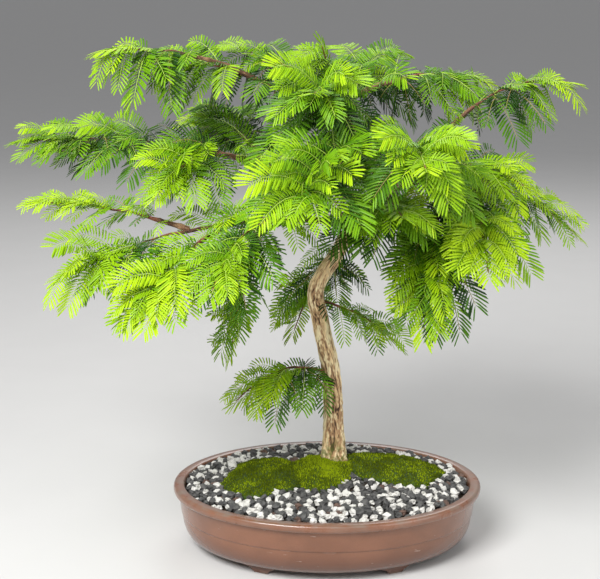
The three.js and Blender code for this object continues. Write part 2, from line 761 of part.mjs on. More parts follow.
// One cushion of moss: a flat dome with a wavering edge that follows the ground.
function mossPatch({ x, y, halfLength, halfWidth, wobble }) {
  const ball = new THREE.SphereGeometry(1, MOSS_SEGMENTS, MOSS_ROWS);
  return solidOf(
    warped(ball, (v) => {
      const turn = Math.atan2(v.z, v.x);
      const east = POT_X + x + v.x * halfLength * waver(turn, wobble);
      const north = y - v.z * halfWidth * waver(turn, wobble);
      const ground = groundHeight(groundShare(east, north));
      return new THREE.Vector3(east, north, ground + MOSS_THICKNESS * v.y);
    }),
  );
}

const mossSolid = () =>
  largest(
    joined(MOSS_PATCHES.map(mossPatch))
      .subtract(soilSolid(GAP))
      .subtract(trunkSolid(GAP))
      .subtract(trunkSolid(GAP, 2)),
  );

// Finishes
const finish = (colour, roughness) =>
  new THREE.MeshStandardMaterial({ color: colour, roughness, metalness: 0 });
const POT_CLAY = finish("#80604f", 0.5);
const SOIL = finish("#77797a", 0.9);
const MOSS = finish("#4c6a12", 0.95);
const BARK = finish("#8a6f4c", 0.9);
const BOUGH_BARK = finish("#6b4a34", 0.85);
const NEEDLES = [finish("#a9d83c", 0.55), finish("#7cb62a", 0.6), finish("#4f8f2b", 0.65)];

const tree = new THREE.Group();
tree.position.set(-MIDDLE_X, -MIDDLE_Y, 0);

function place(name, solid, material) {
  const mesh = new THREE.Mesh(geometryOf(solid), material);
  mesh.name = name;
  tree.add(mesh);
  return solid;
}

place("pot", potSolid(), POT_CLAY);
place("soil", joined([soilSolid(), ...lumps()]), SOIL);
place("moss", mossSolid(), MOSS);
const placed = [place("trunk", trunkSolid(), BARK)];
ALL_LIMBS.filter((limb) => limb.foot > 0).forEach((limb) => {
  placed.push(place(`bough_${limb.name}`, boughSolid(limb), BOUGH_BARK));
});
ALL_LIMBS.forEach((limb) => {
  const tone = NEEDLES[limb.index % NEEDLES.length];
  placed.push(place(`foliage_${limb.name}`, foliageSolid(limb, placed), tone));
});

export default tree;
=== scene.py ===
# %% [markdown]
# # A dawn redwood bonsai
# The real thing is a small leaning tree in an oval unglazed pot. Its crown is made of layered
# limbs, and every limb carries feathery sprays of soft needles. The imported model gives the
# pot, the trunk, the boughs and a plain solid for each mass of foliage. This lesson dresses
# them: a fired clay pot, loose white and dark grit, cushions of moss, fissured bark, and tens
# of thousands of needles that grow by a seeded rule.

import json
import math

import bpy
import numpy as np
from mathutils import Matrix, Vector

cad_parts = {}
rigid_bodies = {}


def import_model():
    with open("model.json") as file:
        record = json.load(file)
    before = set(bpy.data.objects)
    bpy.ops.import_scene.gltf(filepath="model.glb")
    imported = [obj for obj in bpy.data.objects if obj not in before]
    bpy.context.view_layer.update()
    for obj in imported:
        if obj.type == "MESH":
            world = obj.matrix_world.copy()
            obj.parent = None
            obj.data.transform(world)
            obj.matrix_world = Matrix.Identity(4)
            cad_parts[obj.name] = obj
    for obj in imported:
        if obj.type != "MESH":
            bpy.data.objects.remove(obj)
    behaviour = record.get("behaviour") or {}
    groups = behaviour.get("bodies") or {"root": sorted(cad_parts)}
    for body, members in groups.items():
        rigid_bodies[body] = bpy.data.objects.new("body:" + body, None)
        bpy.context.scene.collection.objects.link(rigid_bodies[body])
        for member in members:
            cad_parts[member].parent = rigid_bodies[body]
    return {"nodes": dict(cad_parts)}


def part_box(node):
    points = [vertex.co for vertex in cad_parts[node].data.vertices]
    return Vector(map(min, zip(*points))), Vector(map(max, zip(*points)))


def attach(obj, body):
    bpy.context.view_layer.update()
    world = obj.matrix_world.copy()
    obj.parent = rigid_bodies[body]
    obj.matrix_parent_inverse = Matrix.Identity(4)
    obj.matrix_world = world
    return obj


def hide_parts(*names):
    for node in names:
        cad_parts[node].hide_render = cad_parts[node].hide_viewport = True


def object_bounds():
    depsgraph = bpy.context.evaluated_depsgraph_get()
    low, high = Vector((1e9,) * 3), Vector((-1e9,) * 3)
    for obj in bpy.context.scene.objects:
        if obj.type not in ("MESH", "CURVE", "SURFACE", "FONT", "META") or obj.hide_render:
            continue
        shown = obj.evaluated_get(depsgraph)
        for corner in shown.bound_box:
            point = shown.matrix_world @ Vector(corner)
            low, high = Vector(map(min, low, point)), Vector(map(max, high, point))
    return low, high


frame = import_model()
model_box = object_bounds()
print("nodes in the packed model:", len(frame["nodes"]))

# %% [markdown]
# ## Sizes
# A maker measures this tree in millimetres, so lengths here are millimetres, and one helper
# turns a finished mesh into Blender's metres. The pot's size and place are read from the
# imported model, so the dressing can't drift away from it.

# %% Measures
MM = 0.001
TURN = 2 * math.pi
UP = np.array([0.0, 0.0, 1.0])


def node_box(name):
    """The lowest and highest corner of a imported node, in millimetres."""
    low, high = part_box(name)
    return np.array(low) / MM, np.array(high) / MM


pot_low, pot_high = node_box("pot")
POT_MIDDLE = (pot_low + pot_high)[:2] / 2
RIM_HALF_LENGTH, RIM_HALF_WIDTH = (pot_high - pot_low)[:2] / 2
POT_HEIGHT = pot_high[2]
print("pot:", np.round(pot_high - pot_low, 1), "middle:", np.round(POT_MIDDLE, 1))

# %% [markdown]
# ## Chance
# Living things vary, but a lesson must give the same tree every time. A number from 0 to 1
# is worked out from two whole numbers instead of being drawn at random. For bark and moss the
# same numbers sit on the corners of a lattice and are eased between them, which makes a soft
# noise that closes up on itself round a stem.


# %% Seeded numbers and a noise on a cylinder
def chance(row, draw):
    """The part behind the point of sin(row * 12.9898 + draw * 78.233) * 43758.5453."""
    wave = np.sin(np.asarray(row, float) * 12.9898 + draw * 78.233) * 43758.5453
    return wave - np.floor(wave)


def play(row, draw):
    """The same chance, from -0.5 to 0.5."""
    return chance(row, draw) - 0.5


def between(row, draw, least, span):
    """The same chance, from least to least plus span."""
    return least + span * chance(row, draw)


def ring_noise(turn, height, cells, cell_height, draw):
    """Chance at the corners of cells round (turn, 0 to 1) and up (height), eased between the
    corners by 3f^2 - 2f^3; the last cell round meets the first."""
    across = turn * cells
    up = height / cell_height
    column, row = np.floor(across), np.floor(up)
    fx, fy = across - column, up - row
    fx, fy = fx * fx * (3 - 2 * fx), fy * fy * (3 - 2 * fy)

    def corner(dx, dy):
        return chance(np.mod(column + dx, cells) * 71 + row + dy, draw)

    low = corner(0, 0) * (1 - fx) + corner(1, 0) * fx
    high = corner(0, 1) * (1 - fx) + corner(1, 1) * fx
    return low * (1 - fy) + high * fy


print("the first three chances:", np.round(chance(np.arange(3), 1), 4))

# %% [markdown]
# ## From arrays to meshes
# Every piece here is an array of points and arrays of faces. A long thing is a row of rings:
# quads join each ring to the next, and a fan closes each end on a pole. Thousands of like
# things, such as needles, are one template of faces repeated with a stride, so no loop ever
# runs over single points.


# %% Mesh helpers
def unit(vectors):
    """Each vector divided by its own length."""
    return vectors / np.linalg.norm(vectors, axis=-1, keepdims=True)


def turns_round(sides):
    """Even angles once round, from 0 up to but without a full turn."""
    return np.linspace(0, TURN, sides, endpoint=False)


def tube_rings(centre, side, over, radius, sides):
    """Rings round each centre: side times cos plus over times sin, at the radius given."""
    turn = turns_round(sides)
    spoke = side[..., None, :] * np.cos(turn)[:, None] + over[..., None, :] * np.sin(turn)[:, None]
    return centre[..., None, :] + spoke * radius[..., None]


def closed(rings, first, last):
    """The points of a grid of rings in one list, with its two poles after them."""
    return np.vstack([rings.reshape(-1, 3), first, last])


def ring_faces(rings, sides):
    """Quads between rings of points that run round, and fans to a first and a last pole,
    which are the two points after the rings."""
    ring, side = np.meshgrid(np.arange(rings - 1), np.arange(sides), indexing="ij")
    near = ring * sides + side
    beside = ring * sides + (side + 1) % sides
    quads = np.stack([near, beside, beside + sides, near + sides], -1).reshape(-1, 4)
    around = np.arange(sides)
    after = (around + 1) % sides
    last = (rings - 1) * sides
    first_pole = np.full(sides, rings * sides)
    foot = np.stack([first_pole, after, around], -1)
    head = np.stack([last + around, last + after, first_pole + 1], -1)
    return quads, np.vstack([foot, head])


def repeated(faces, copies, stride):
    """The template's faces for every copy, each shifted by the points of the copies before."""
    shift = stride * np.arange(copies)[:, None, None]
    return (faces[None] + shift).reshape(-1, faces.shape[1])


def tube_faces(copies, rings, sides):
    """The faces of so many like tubes, whose points follow one another."""
    return [repeated(block, copies, rings * sides + 2) for block in ring_faces(rings, sides)]


def turned_over(faces):
    """The same faces, looking the other way."""
    return [block[:, ::-1] for block in faces]


def put_in_scene(name, data):
    """A new object for a mesh, a lamp or a camera, linked to the scene."""
    made = bpy.data.objects.new(name, data)
    bpy.context.scene.collection.objects.link(made)
    return made


def add_piece(name, points, faces, material, slot, stands_for, smooth=True, **marks):
    """Makes one mesh piece from points in millimetres and a list of face arrays. Each mark
    is a number for every point, kept as an attribute that the material can read."""
    mesh = bpy.data.meshes.new(name)
    mesh.vertices.add(len(points))
    mesh.vertices.foreach_set("co", (np.asarray(points) * MM).astype(np.float32).ravel())
    sizes = np.concatenate([np.full(len(block), block.shape[1]) for block in faces])
    corners = np.concatenate([block.ravel() for block in faces])
    mesh.loops.add(len(corners))
    mesh.loops.foreach_set("vertex_index", corners.astype(np.int32))
    mesh.polygons.add(len(sizes))
    mesh.polygons.foreach_set("loop_start", np.concatenate([[0], np.cumsum(sizes)[:-1]]))
    mesh.update(calc_edges=True)
    mesh.polygons.foreach_set("use_smooth", np.full(len(sizes), smooth))
    for mark, values in marks.items():
        layer = mesh.attributes.new(mark, "FLOAT", "POINT")
        layer.data.foreach_set("value", np.asarray(values, np.float32).ravel())
    mesh.materials.append(material)
    made = put_in_scene(name, mesh)
    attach(made, "root")
    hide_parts(*stands_for)
    print(f"{name}: {int((sizes - 2).sum())} triangles")


# %% [markdown]
# ## Colours and shader groups
# Colours are written as they look on a screen, from 0 to 255, and turned into the linear
# values that the shader wants. Three effects come back on many pieces, so each is a node
# group: a mottle of two colours, bark that is dark in its fissures, and wear that lightens
# edges. A group only hands out colours and numbers; the shader stays in each material.


# %% Colour and node helpers
def linear(red, green, blue):
    """A screen colour as linear light: (c + 0.055) / 1.055 to the power 2.4 above 0.04045."""
    share = np.array([red, green, blue]) / 255
    low, high = share / 12.92, ((share + 0.055) / 1.055) ** 2.4
    return (*np.where(share <= 0.04045, low, high).tolist(), 1.0)


def feed(tree, source, socket):
    """Links a socket to another one, or puts a plain number or colour into it."""
    if isinstance(source, bpy.types.NodeSocket):
        tree.links.new(source, socket)
    else:
        socket.default_value = source


def fill(tree, node, **values):
    """Feeds a node's inputs by name, spaces written as _."""
    for key, value in values.items():
        feed(tree, value, node.inputs[key.replace("_", " ")])
    return node


def add_node(tree, kind, **values):
    """A new node with its inputs fed."""
    return fill(tree, tree.nodes.new(kind), **values)


def mixed(tree, share, first, second):
    """A colour between two, each a colour or a socket, by a share from a socket."""
    mix = tree.nodes.new("ShaderNodeMix")
    mix.data_type = "RGBA"
    tree.links.new(share, mix.inputs["Factor"])
    for name, source in (("A", first), ("B", second)):
        feed(tree, source, next(s for s in mix.inputs if s.name == name and s.type == "RGBA"))
    return next(s for s in mix.outputs if s.type == "RGBA")


def computed(tree, operation, *terms):
    """A number worked out from terms, each a number or a socket."""
    made = tree.nodes.new("ShaderNodeMath")
    made.operation = operation
    for term, socket in zip(terms, made.inputs):
        feed(tree, term, socket)
    return made.outputs[0]


def shaded(tree, colour, factor):
    """A colour times a factor, both from sockets."""
    made = tree.nodes.new("ShaderNodeVectorMath")
    made.operation = "SCALE"
    return fill(tree, made, Vector=colour, Scale=factor).outputs["Vector"]


def stepped(tree, source, low, high):
    """A number moved from between low and high to between 0 and 1, eased and held there."""
    step = tree.nodes.new("ShaderNodeMapRange")
    step.interpolation_type = "SMOOTHSTEP"
    return fill(tree, step, Value=source, From_Min=low, From_Max=high).outputs["Result"]


def own_place(tree):
    """Where a spot lies on its own object."""
    return tree.nodes.new("ShaderNodeTexCoord").outputs["Object"]


def own_mark(tree, name):
    """The number that the piece keeps for a spot under this name."""
    made = tree.nodes.new("ShaderNodeAttribute")
    made.attribute_name = name
    return made.outputs["Fac"]


def lumps(tree, place, scale, detail):
    """Soft noise at a place, from 0 to 1."""
    made = add_node(tree, "ShaderNodeTexNoise", Vector=place, Scale=scale, Detail=detail)
    return made.outputs["Fac"]


def noise(tree, size, detail, stretch=(1, 1, 1)):
    """Noise whose lumps are about size millimetres, stretched by axis."""
    scale = [1 / (size * MM * s) for s in stretch]
    place = add_node(tree, "ShaderNodeMapping", Vector=own_place(tree), Scale=scale)
    return lumps(tree, place.outputs["Vector"], 1.0, detail)


def height_step(tree, low, high):
    """0 at one height above the ground and 1 at the other, both in millimetres."""
    split = add_node(tree, "ShaderNodeSeparateXYZ", Vector=own_place(tree))
    return stepped(tree, split.outputs["Z"], low * MM, high * MM)


def new_group(name, inputs, outputs):
    """An empty shader group, the values given to it, and the results that it hands out. A
    colour is four numbers."""
    group = bpy.data.node_groups.new(name, "ShaderNodeTree")
    for direction, sockets in (("INPUT", inputs), ("OUTPUT", outputs)):
        for label, value in sockets.items():
            kind = "NodeSocketColor" if isinstance(value, tuple) else "NodeSocketFloat"
            made = group.interface.new_socket(label, in_out=direction, socket_type=kind)
            made.default_value = value
    given, result = (group.nodes.new(kind) for kind in ("NodeGroupInput", "NodeGroupOutput"))
    return group, given.outputs, result.inputs


GREY = (0.5, 0.5, 0.5, 1.0)
MOTTLE_STEP = (0.35, 0.65)
WEAR_STEP = (0.34, 0.7)
PATCH_STEP = (0.42, 0.6)
BARK_STEPS = (0.2, 0.5), (0.5, 0.9)


def make_mottle():
    """Group: two colours mixed by a broad noise, then darkened a little by fine grain."""
    group, given, result = new_group(
        "mottle",
        {"Main": GREY, "Other": GREY, "Share": 0.5, "Broad": 1.0, "Fine": 1.0, "Grain": 0.2},
        {"Colour": GREY, "Height": 0.0},
    )
    place = own_place(group)
    broad = lumps(group, place, given["Broad"], 3.0)
    fine = lumps(group, place, given["Fine"], 6.0)
    part = computed(group, "MULTIPLY", stepped(group, broad, *MOTTLE_STEP), given["Share"])
    colour = mixed(group, part, given["Main"], given["Other"])
    lean = computed(group, "SUBTRACT", fine, 0.5)
    shade = computed(group, "MULTIPLY_ADD", lean, given["Grain"], 1.0)
    group.links.new(shaded(group, colour, shade), result["Colour"])
    group.links.new(fine, result["Height"])
    return group


def make_wear():
    """Group: a colour gives way to a worn one where the wear mark and a broken noise meet."""
    group, given, result = new_group(
        "wear",
        {"Colour": GREY, "Worn": GREY, "Rough": 0.5, "Worn Rough": 0.5},
        {"Colour": GREY, "Rough": 0.5},
    )
    broken = stepped(group, noise(group, 14, 6.0), *WEAR_STEP)
    part = computed(group, "MULTIPLY", own_mark(group, "wear"), broken)
    rough = add_node(group, "ShaderNodeMix", Factor=part, A=given["Rough"], B=given["Worn Rough"])
    group.links.new(mixed(group, part, given["Colour"], given["Worn"]), result["Colour"])
    group.links.new(rough.outputs[0], result["Rough"])
    return group


def make_bark():
    """Group: crest, middle and fissure colours by how deep the fissure mark says a spot is,
    with a patchy second crest colour and long fibres of light and shade. The dark fissure
    colour is partly the bark's own and partly painted shade in the cuts."""
    group, given, result = new_group(
        "bark",
        {"Crest": GREY, "Patch": GREY, "Middle": GREY, "Fissure": GREY},
        {"Colour": GREY, "Height": 0.0},
    )
    mark = own_mark(group, "fissure")
    patchy = stepped(group, noise(group, 9, 4.0, (1, 1, 3)), *PATCH_STEP)
    fibre = noise(group, 1.6, 5.0, (1, 1, 5))
    crest = mixed(group, patchy, given["Crest"], given["Patch"])
    # painted shade in part: the deeper the fissure mark, the darker the colour, as shade falls in
    # the cuts
    first, second = (stepped(group, mark, *step) for step in BARK_STEPS)
    upper = mixed(group, first, crest, given["Middle"])
    whole = mixed(group, second, upper, given["Fissure"])
    shade = add_node(group, "ShaderNodeMapRange", Value=fibre, To_Min=0.55, To_Max=1.45)
    group.links.new(shaded(group, whole, shade.outputs["Result"]), result["Colour"])
    group.links.new(fibre, result["Height"])
    return group


MOTTLE, WEAR, BARK = make_mottle(), make_wear(), make_bark()


def use(tree, group, **values):
    """Places a group in a material and feeds its inputs."""
    made = tree.nodes.new("ShaderNodeGroup")
    made.node_tree = group
    return fill(tree, made, **values)


def finish(name, roughness, colour_of, bump=0.0, bump_height=0.1, **shader):
    """A material on one Principled shader. colour_of builds the nodes in its tree and gives
    back the sockets for colour, height and, where it varies, roughness."""
    material = bpy.data.materials.new(name)
    material.use_nodes = True
    tree = material.node_tree
    surface = tree.nodes["Principled BSDF"]
    colour, height, rough = colour_of(tree)
    fill(tree, surface, Base_Color=colour, Roughness=roughness, **shader)
    if rough is not None:
        fill(tree, surface, Roughness=rough)
    if bump:
        raised = add_node(tree, "ShaderNodeBump", Height=height, Strength=bump,
                          Distance=bump_height * MM)
        fill(tree, surface, Normal=raised.outputs["Normal"])
    return material


def mottled(name, main, other, share, broad, fine, roughness, bump, bump_height=0.3, grain=0.5,
            **shader):
    """A finish of two mottled colours, whose broad and fine lumps have sizes in millimetres."""

    def colour_of(tree):
        made = use(tree, MOTTLE, Main=main, Other=other, Share=share, Grain=grain,
                   Broad=1 / (broad * MM), Fine=1 / (fine * MM))
        return made.outputs["Colour"], made.outputs["Height"], None

    return finish(name, roughness, colour_of, bump, bump_height, **shader)


print("shader groups:", MOTTLE.name, WEAR.name, BARK.name)

# %% [markdown]
# ## Camera, light and floor
# The photograph looks slightly down on the tree from a little over a metre away. The floor
# is pale and plain, one large soft lamp stands high at the front left, a weaker one fills the
# right, and a third from behind lifts the crown off the ground.

# %% Set the stage
CAMERA_PLACE = (1.5, -1232.8, 549.8)
CAMERA_PITCH = 13.385
CAMERA_LENS = 78.0
SENSOR = 36.0
FLOOR_HALF = 40.0
SKY_TINT = (0.96, 0.97, 1.0, 1.0)
SKY_STRENGTH = 0.355

eye = bpy.data.cameras.new("camera")
eye.lens = CAMERA_LENS
eye.sensor_width = SENSOR
camera = put_in_scene("camera", eye)
camera.location = np.array(CAMERA_PLACE) * MM
camera.rotation_euler = (math.radians(90 - CAMERA_PITCH), 0, 0)
bpy.context.scene.camera = camera
bpy.context.scene.view_settings.view_transform = "Standard"

LAMPS = [
    {"name": "key", "place": (-700, -1250, 1500), "size": 0.9, "watts": 53},
    {"name": "fill", "place": (1400, -1100, 900), "size": 1.4, "watts": 12},
    {"name": "back", "place": (300, 1500, 1700), "size": 1.2, "watts": 15},
]
AIM = np.array([0.0, 0.0, 260.0])
for lamp in LAMPS:
    light = bpy.data.lights.new(lamp["name"], "AREA")
    light.size = lamp["size"]
    light.energy = lamp["watts"]
    holder = put_in_scene(lamp["name"], light)
    holder.location = np.array(lamp["place"]) * MM
    toward = AIM - np.array(lamp["place"])
    heading = math.atan2(toward[1], toward[0])
    tilt = math.atan2(np.linalg.norm(toward[:2]), -toward[2])
    holder.rotation_euler = (tilt, 0, heading - math.pi / 2)

world = bpy.data.worlds.new("studio")
world.use_nodes = True
fill(world.node_tree, world.node_tree.nodes["Background"], Color=SKY_TINT, Strength=SKY_STRENGTH)
bpy.context.scene.world = world

sheet = bpy.data.meshes.new("floor")
corners = np.array([(-1, -1, 0), (1, -1, 0), (1, 1, 0), (-1, 1, 0)]) * FLOOR_HALF
sheet.from_pydata(corners.tolist(), [], [(0, 1, 2, 3)])
paper = mottled("paper", linear(206, 205, 203), linear(204, 203, 201), share=0.5, broad=90,
                fine=1, roughness=0.9, bump=0.0, grain=0.02)
sheet.materials.append(paper)
floor = put_in_scene("floor", sheet)
print("lamps:", len(LAMPS), "camera at", camera.location[:])

# %% [markdown]
# ## The pot
# The real pot is a slab of brown stoneware turned out of an oval mould: a bowl below, an
# upright band above a fine step, a rolled lip, and four bracket feet. It could be carved from
# a block, but a profile carried round an oval says exactly what the potter's template does.
# Each ring of the profile is the rim's oval moved in square to itself, so the wall is equally
# thick all the way round. A wear mark on the lip, the step and the bottom edge lets the
# material go pale and dull there.

# %% Pot profile
LIP_HEIGHT = 8.5
LIP_REACH = 4.5
WALL = 9.0
BAND_HEIGHT = 34.0
BAND_STEP = 0.9
FOOT_HEIGHT = 8.0
FLOOR_THICKNESS = 8.0
BASE_HALF_WIDTH = 92.0
CLOSING_HALF_WIDTH = BASE_HALF_WIDTH / 3
WALL_TOP = RIM_HALF_WIDTH - LIP_REACH
BAND_HALF_WIDTH = WALL_TOP - 3
MOUTH = WALL_TOP + 2.5 - WALL
POT_FLOOR = FOOT_HEIGHT + FLOOR_THICKNESS
POT_SIDES = 288
HAND_WAVES = (0.22, 3, 1), (0.15, 5, 0)
WAVES_FROM, WAVES_GROW = 20, 40
WAVES_TO, WAVES_FADE = 63.4, 3


def on_oval(across, turn):
    """The rim's oval at a turn, moved along its own normal by across less the rim's half
    width: (a cos, b sin) + n (across - b). Near the middle of the floor it shrinks to a
    point."""
    c, s = np.cos(turn), np.sin(turn)
    normal = unit(np.stack([c / RIM_HALF_LENGTH, s / RIM_HALF_WIDTH], -1))
    edge = np.stack([RIM_HALF_LENGTH * c, RIM_HALF_WIDTH * s], -1)
    moved = edge + normal * (across - RIM_HALF_WIDTH)[..., None]
    return POT_MIDDLE + moved * np.clip(across / CLOSING_HALF_WIDTH, 0, 1)[..., None]


def bend(start, corner, end, steps):
    """A quadratic curve from start to end, drawn towards a corner."""
    t = np.linspace(0, 1, steps)[:, None]
    start, corner, end = np.array(start), np.array(corner), np.array(end)
    return (1 - t) ** 2 * start + 2 * t * (1 - t) * corner + t**2 * end


def pot_profile():
    """The half outline as (across, height, wear): under the floor, up the bowl, over the
    step, up the band, round the lip, and back down the inside."""
    lip_foot = POT_HEIGHT - LIP_HEIGHT
    u = np.linspace(0, math.pi / 2, 22)
    reach = BAND_HALF_WIDTH - BAND_STEP - BASE_HALF_WIDTH
    belly = np.stack([BASE_HALF_WIDTH + reach * np.sin(u),
                      FOOT_HEIGHT + (BAND_HEIGHT - FOOT_HEIGHT) * (1 - np.cos(u))], -1)
    edge = BASE_HALF_WIDTH
    runs = [
        (np.stack([np.linspace(0.01, edge - 3, 12), np.full(12, FOOT_HEIGHT + 0.5)], -1), 0.1),
        (bend((edge - 2.4, FOOT_HEIGHT + 0.4), (edge - 0.2, FOOT_HEIGHT), belly[1], 7), 0.9),
        (belly[2:-1], 0.0),
        (bend(belly[-1], (BAND_HALF_WIDTH - BAND_STEP, BAND_HEIGHT + 0.7),
              (BAND_HALF_WIDTH - 0.1, BAND_HEIGHT + 0.8), 5), 0.05),
        (bend((BAND_HALF_WIDTH + 0.15, BAND_HEIGHT + 1.4),
              (BAND_HALF_WIDTH + 0.9, BAND_HEIGHT + 8), (WALL_TOP - 0.5, lip_foot - 1.8), 12), 0.0),
        (bend((WALL_TOP - 0.3, lip_foot - 0.7), (WALL_TOP + 0.2, lip_foot + 0.6),
              (RIM_HALF_WIDTH - 1.6, lip_foot + 0.9), 7), 0.0),
        (bend((RIM_HALF_WIDTH - 0.9, lip_foot + 1.3), (RIM_HALF_WIDTH + 0.3, lip_foot + 3.5),
              (RIM_HALF_WIDTH - 0.3, POT_HEIGHT - 2.6), 9), 0.35),
        (bend((RIM_HALF_WIDTH - 0.7, POT_HEIGHT - 1.5), (RIM_HALF_WIDTH - 1.9, POT_HEIGHT),
              (RIM_HALF_WIDTH - 4.2, POT_HEIGHT), 8), 1.0),
        (bend((MOUTH + 1.6, POT_HEIGHT - 0.3), (MOUTH, POT_HEIGHT - 0.8),
              (MOUTH - 0.2, POT_HEIGHT - 3.4), 7), 0.8),
        (np.array([(MOUTH - 1.5, 50), (BAND_HALF_WIDTH - WALL, BAND_HEIGHT),
                   (BASE_HALF_WIDTH - WALL + 2, POT_FLOOR), (40, POT_FLOOR),
                   (0.01, POT_FLOOR)]), 0.0),
    ]
    outline = np.vstack([run for run, _ in runs])
    wear = np.concatenate([np.full(len(run), mark) for run, mark in runs])
    return outline, wear


profile, profile_wear = pot_profile()
across, around = np.meshgrid(profile[:, 0], turns_round(POT_SIDES), indexing="ij")
level = np.broadcast_to(profile[:, 1:], across.shape)
waves = sum(size * np.sin(count * around + shift) for size, count, shift in HAND_WAVES)
waves = waves * np.clip((level - WAVES_FROM) / WAVES_GROW, 0, 1)
rise = level + waves * np.clip((WAVES_TO - level) / WAVES_FADE, 0, 1)
pot_points = closed(np.concatenate([on_oval(across, around), rise[..., None]], -1),
                    (*POT_MIDDLE, FOOT_HEIGHT + 0.5), (*POT_MIDDLE, POT_FLOOR))
pot_wear = np.concatenate([np.repeat(profile_wear, POT_SIDES), [0, 0]])
print("points of the pot's profile:", len(profile))


# %% [markdown]
# The pot is fired without a glaze. Its clay is a dull reddish brown, a little shiny where
# hands rub it and paler on worn edges, and painted shade darkens it down the bowl, where the
# bowl turns under. A picture could be wrapped round it, but a mottle made of noise has no
# seam, and the wear mark keeps the pale clay to the lip, the step and the bottom edge.


# %% Pot clay and the body of the pot
def clay_colour(tree):
    """Brown clay with a reddish mottle, darkened down the bowl by painted shade, with pale dusty
    scuffs and worn edges."""
    body = use(tree, MOTTLE, Main=linear(130, 86, 63), Other=linear(115, 75, 54), Share=0.8,
               Grain=0.3, Broad=1 / (34 * MM), Fine=1 / (0.9 * MM))
    scuff = stepped(tree, noise(tree, 6, 9.0, (2.2, 2.2, 0.35)), 0.69, 0.74)
    # painted shade: the clay darkens towards a deep brown from 40 mm down to 4 mm, where the bowl
    # turns under
    bowl = mixed(tree, height_step(tree, 40, 4), body.outputs["Colour"], linear(94, 58, 42))
    dusty = mixed(tree, scuff, bowl, linear(160, 136, 122))
    worn = use(tree, WEAR, Colour=dusty, Worn=linear(124, 104, 90), Rough=0.27,
               Worn_Rough=0.46)
    return worn.outputs["Colour"], body.outputs["Height"], worn.outputs["Rough"]


CLAY = finish("pot_clay", 0.4, clay_colour, bump=0.25, bump_height=0.12, Coat_Weight=0.6,
              Coat_Roughness=0.15)
add_piece("pot_body", pot_points, ring_faces(len(profile), POT_SIDES), CLAY, "pot_clay",
          ["pot"], wear=pot_wear)

# %% [markdown]
# The feet are brackets: broad under the pot, sweeping in to a small pad. Each is a closed
# outline carried inwards from the pot's edge, drawn in a little at its two faces so that no
# edge is sharp.

# %% Four bracket feet
FOOT_BEARING = 61
FOOT_DEPTH = 12.0
FOOT_ROUND = 1.1
FOOT_MIDDLE = np.array([0.0, 5.5])
FOOT_HALF_WIDTH = 10
FOOT_INSET = 1.6
FOOT_WORN = 2.5


def foot_outline():
    """The bracket's outline as (sideways, height), anticlockwise from the pad."""
    right = bend((7, 0), (9.5, 5.2), (22, 7.4), 12)
    side = np.array([(21.5, 9.0), (20, 10.5)])
    half = np.vstack([np.linspace((0, 0), (6.4, 0), 5), (6.85, 0.12), right, side])
    left = half[:0:-1] * np.array([-1, 1])
    return np.vstack([half, left])


def foot_points(turn):
    """The outline at stations from the outer face inwards. Near both faces it is drawn in
    towards its middle by r (1 - sqrt(1 - (1 - d/r)^2)), a quarter round of radius r."""
    outline = foot_outline()
    round_in = FOOT_ROUND * np.array([0.0, 0.13, 0.4, 1.0])
    depth = np.concatenate([round_in, FOOT_DEPTH - round_in[::-1]])
    edge_gap = np.minimum(depth, FOOT_DEPTH - depth)
    drawn = 1 - np.sqrt(np.clip(1 - (1 - np.clip(edge_gap / FOOT_ROUND, 0, 1)) ** 2, 0, 1))
    shrink = 1 - drawn[:, None, None] * FOOT_ROUND / FOOT_HALF_WIDTH
    flat = FOOT_MIDDLE + (outline[None] - FOOT_MIDDLE) * shrink
    flat[..., 1] = np.maximum(flat[..., 1], 0)
    outer = on_oval(np.array(BASE_HALF_WIDTH - FOOT_INSET), np.array(turn))
    outward = unit(on_oval(np.array(BASE_HALF_WIDTH + 8.0), np.array(turn)) - outer)
    along = np.array([-outward[1], outward[0]])
    place = outer + flat[..., :1] * along - depth[:, None, None] * outward
    return np.concatenate([place, flat[..., 1:]], -1)


def feet():
    """All four feet in one mesh; the rings run so that the faces point out."""
    bearings = (FOOT_BEARING, 180 - FOOT_BEARING, 180 + FOOT_BEARING, -FOOT_BEARING)
    grids = [foot_points(math.radians(bearing)) for bearing in bearings]
    points = np.vstack([closed(grid, grid[0].mean(0), grid[-1].mean(0)) for grid in grids])
    faces = turned_over(tube_faces(len(grids), *grids[0].shape[:2]))
    wear = np.clip((FOOT_WORN - points[:, 2]) / FOOT_WORN, 0, 1)
    return points, faces, wear


feet_points, feet_faces, feet_wear = feet()
add_piece("pot_feet", feet_points, feet_faces, CLAY, "pot_clay", ["pot"], wear=feet_wear)

# %% [markdown]
# ## The ground
# Damp soil fills the pot and mounds up to the trunk. Its level lines are the pot's oval
# shrunk towards the trunk's foot, and share says how far out a level line lies. The top is
# covered with loose grit, about half white chips and half dark grey lava, with a few brown
# ones. A chip has fourteen corners and flat faces, because crushed stone breaks along
# planes. The chips stand on a jittered honeycomb, sunk a third into the soil, with a few
# thrown on top.

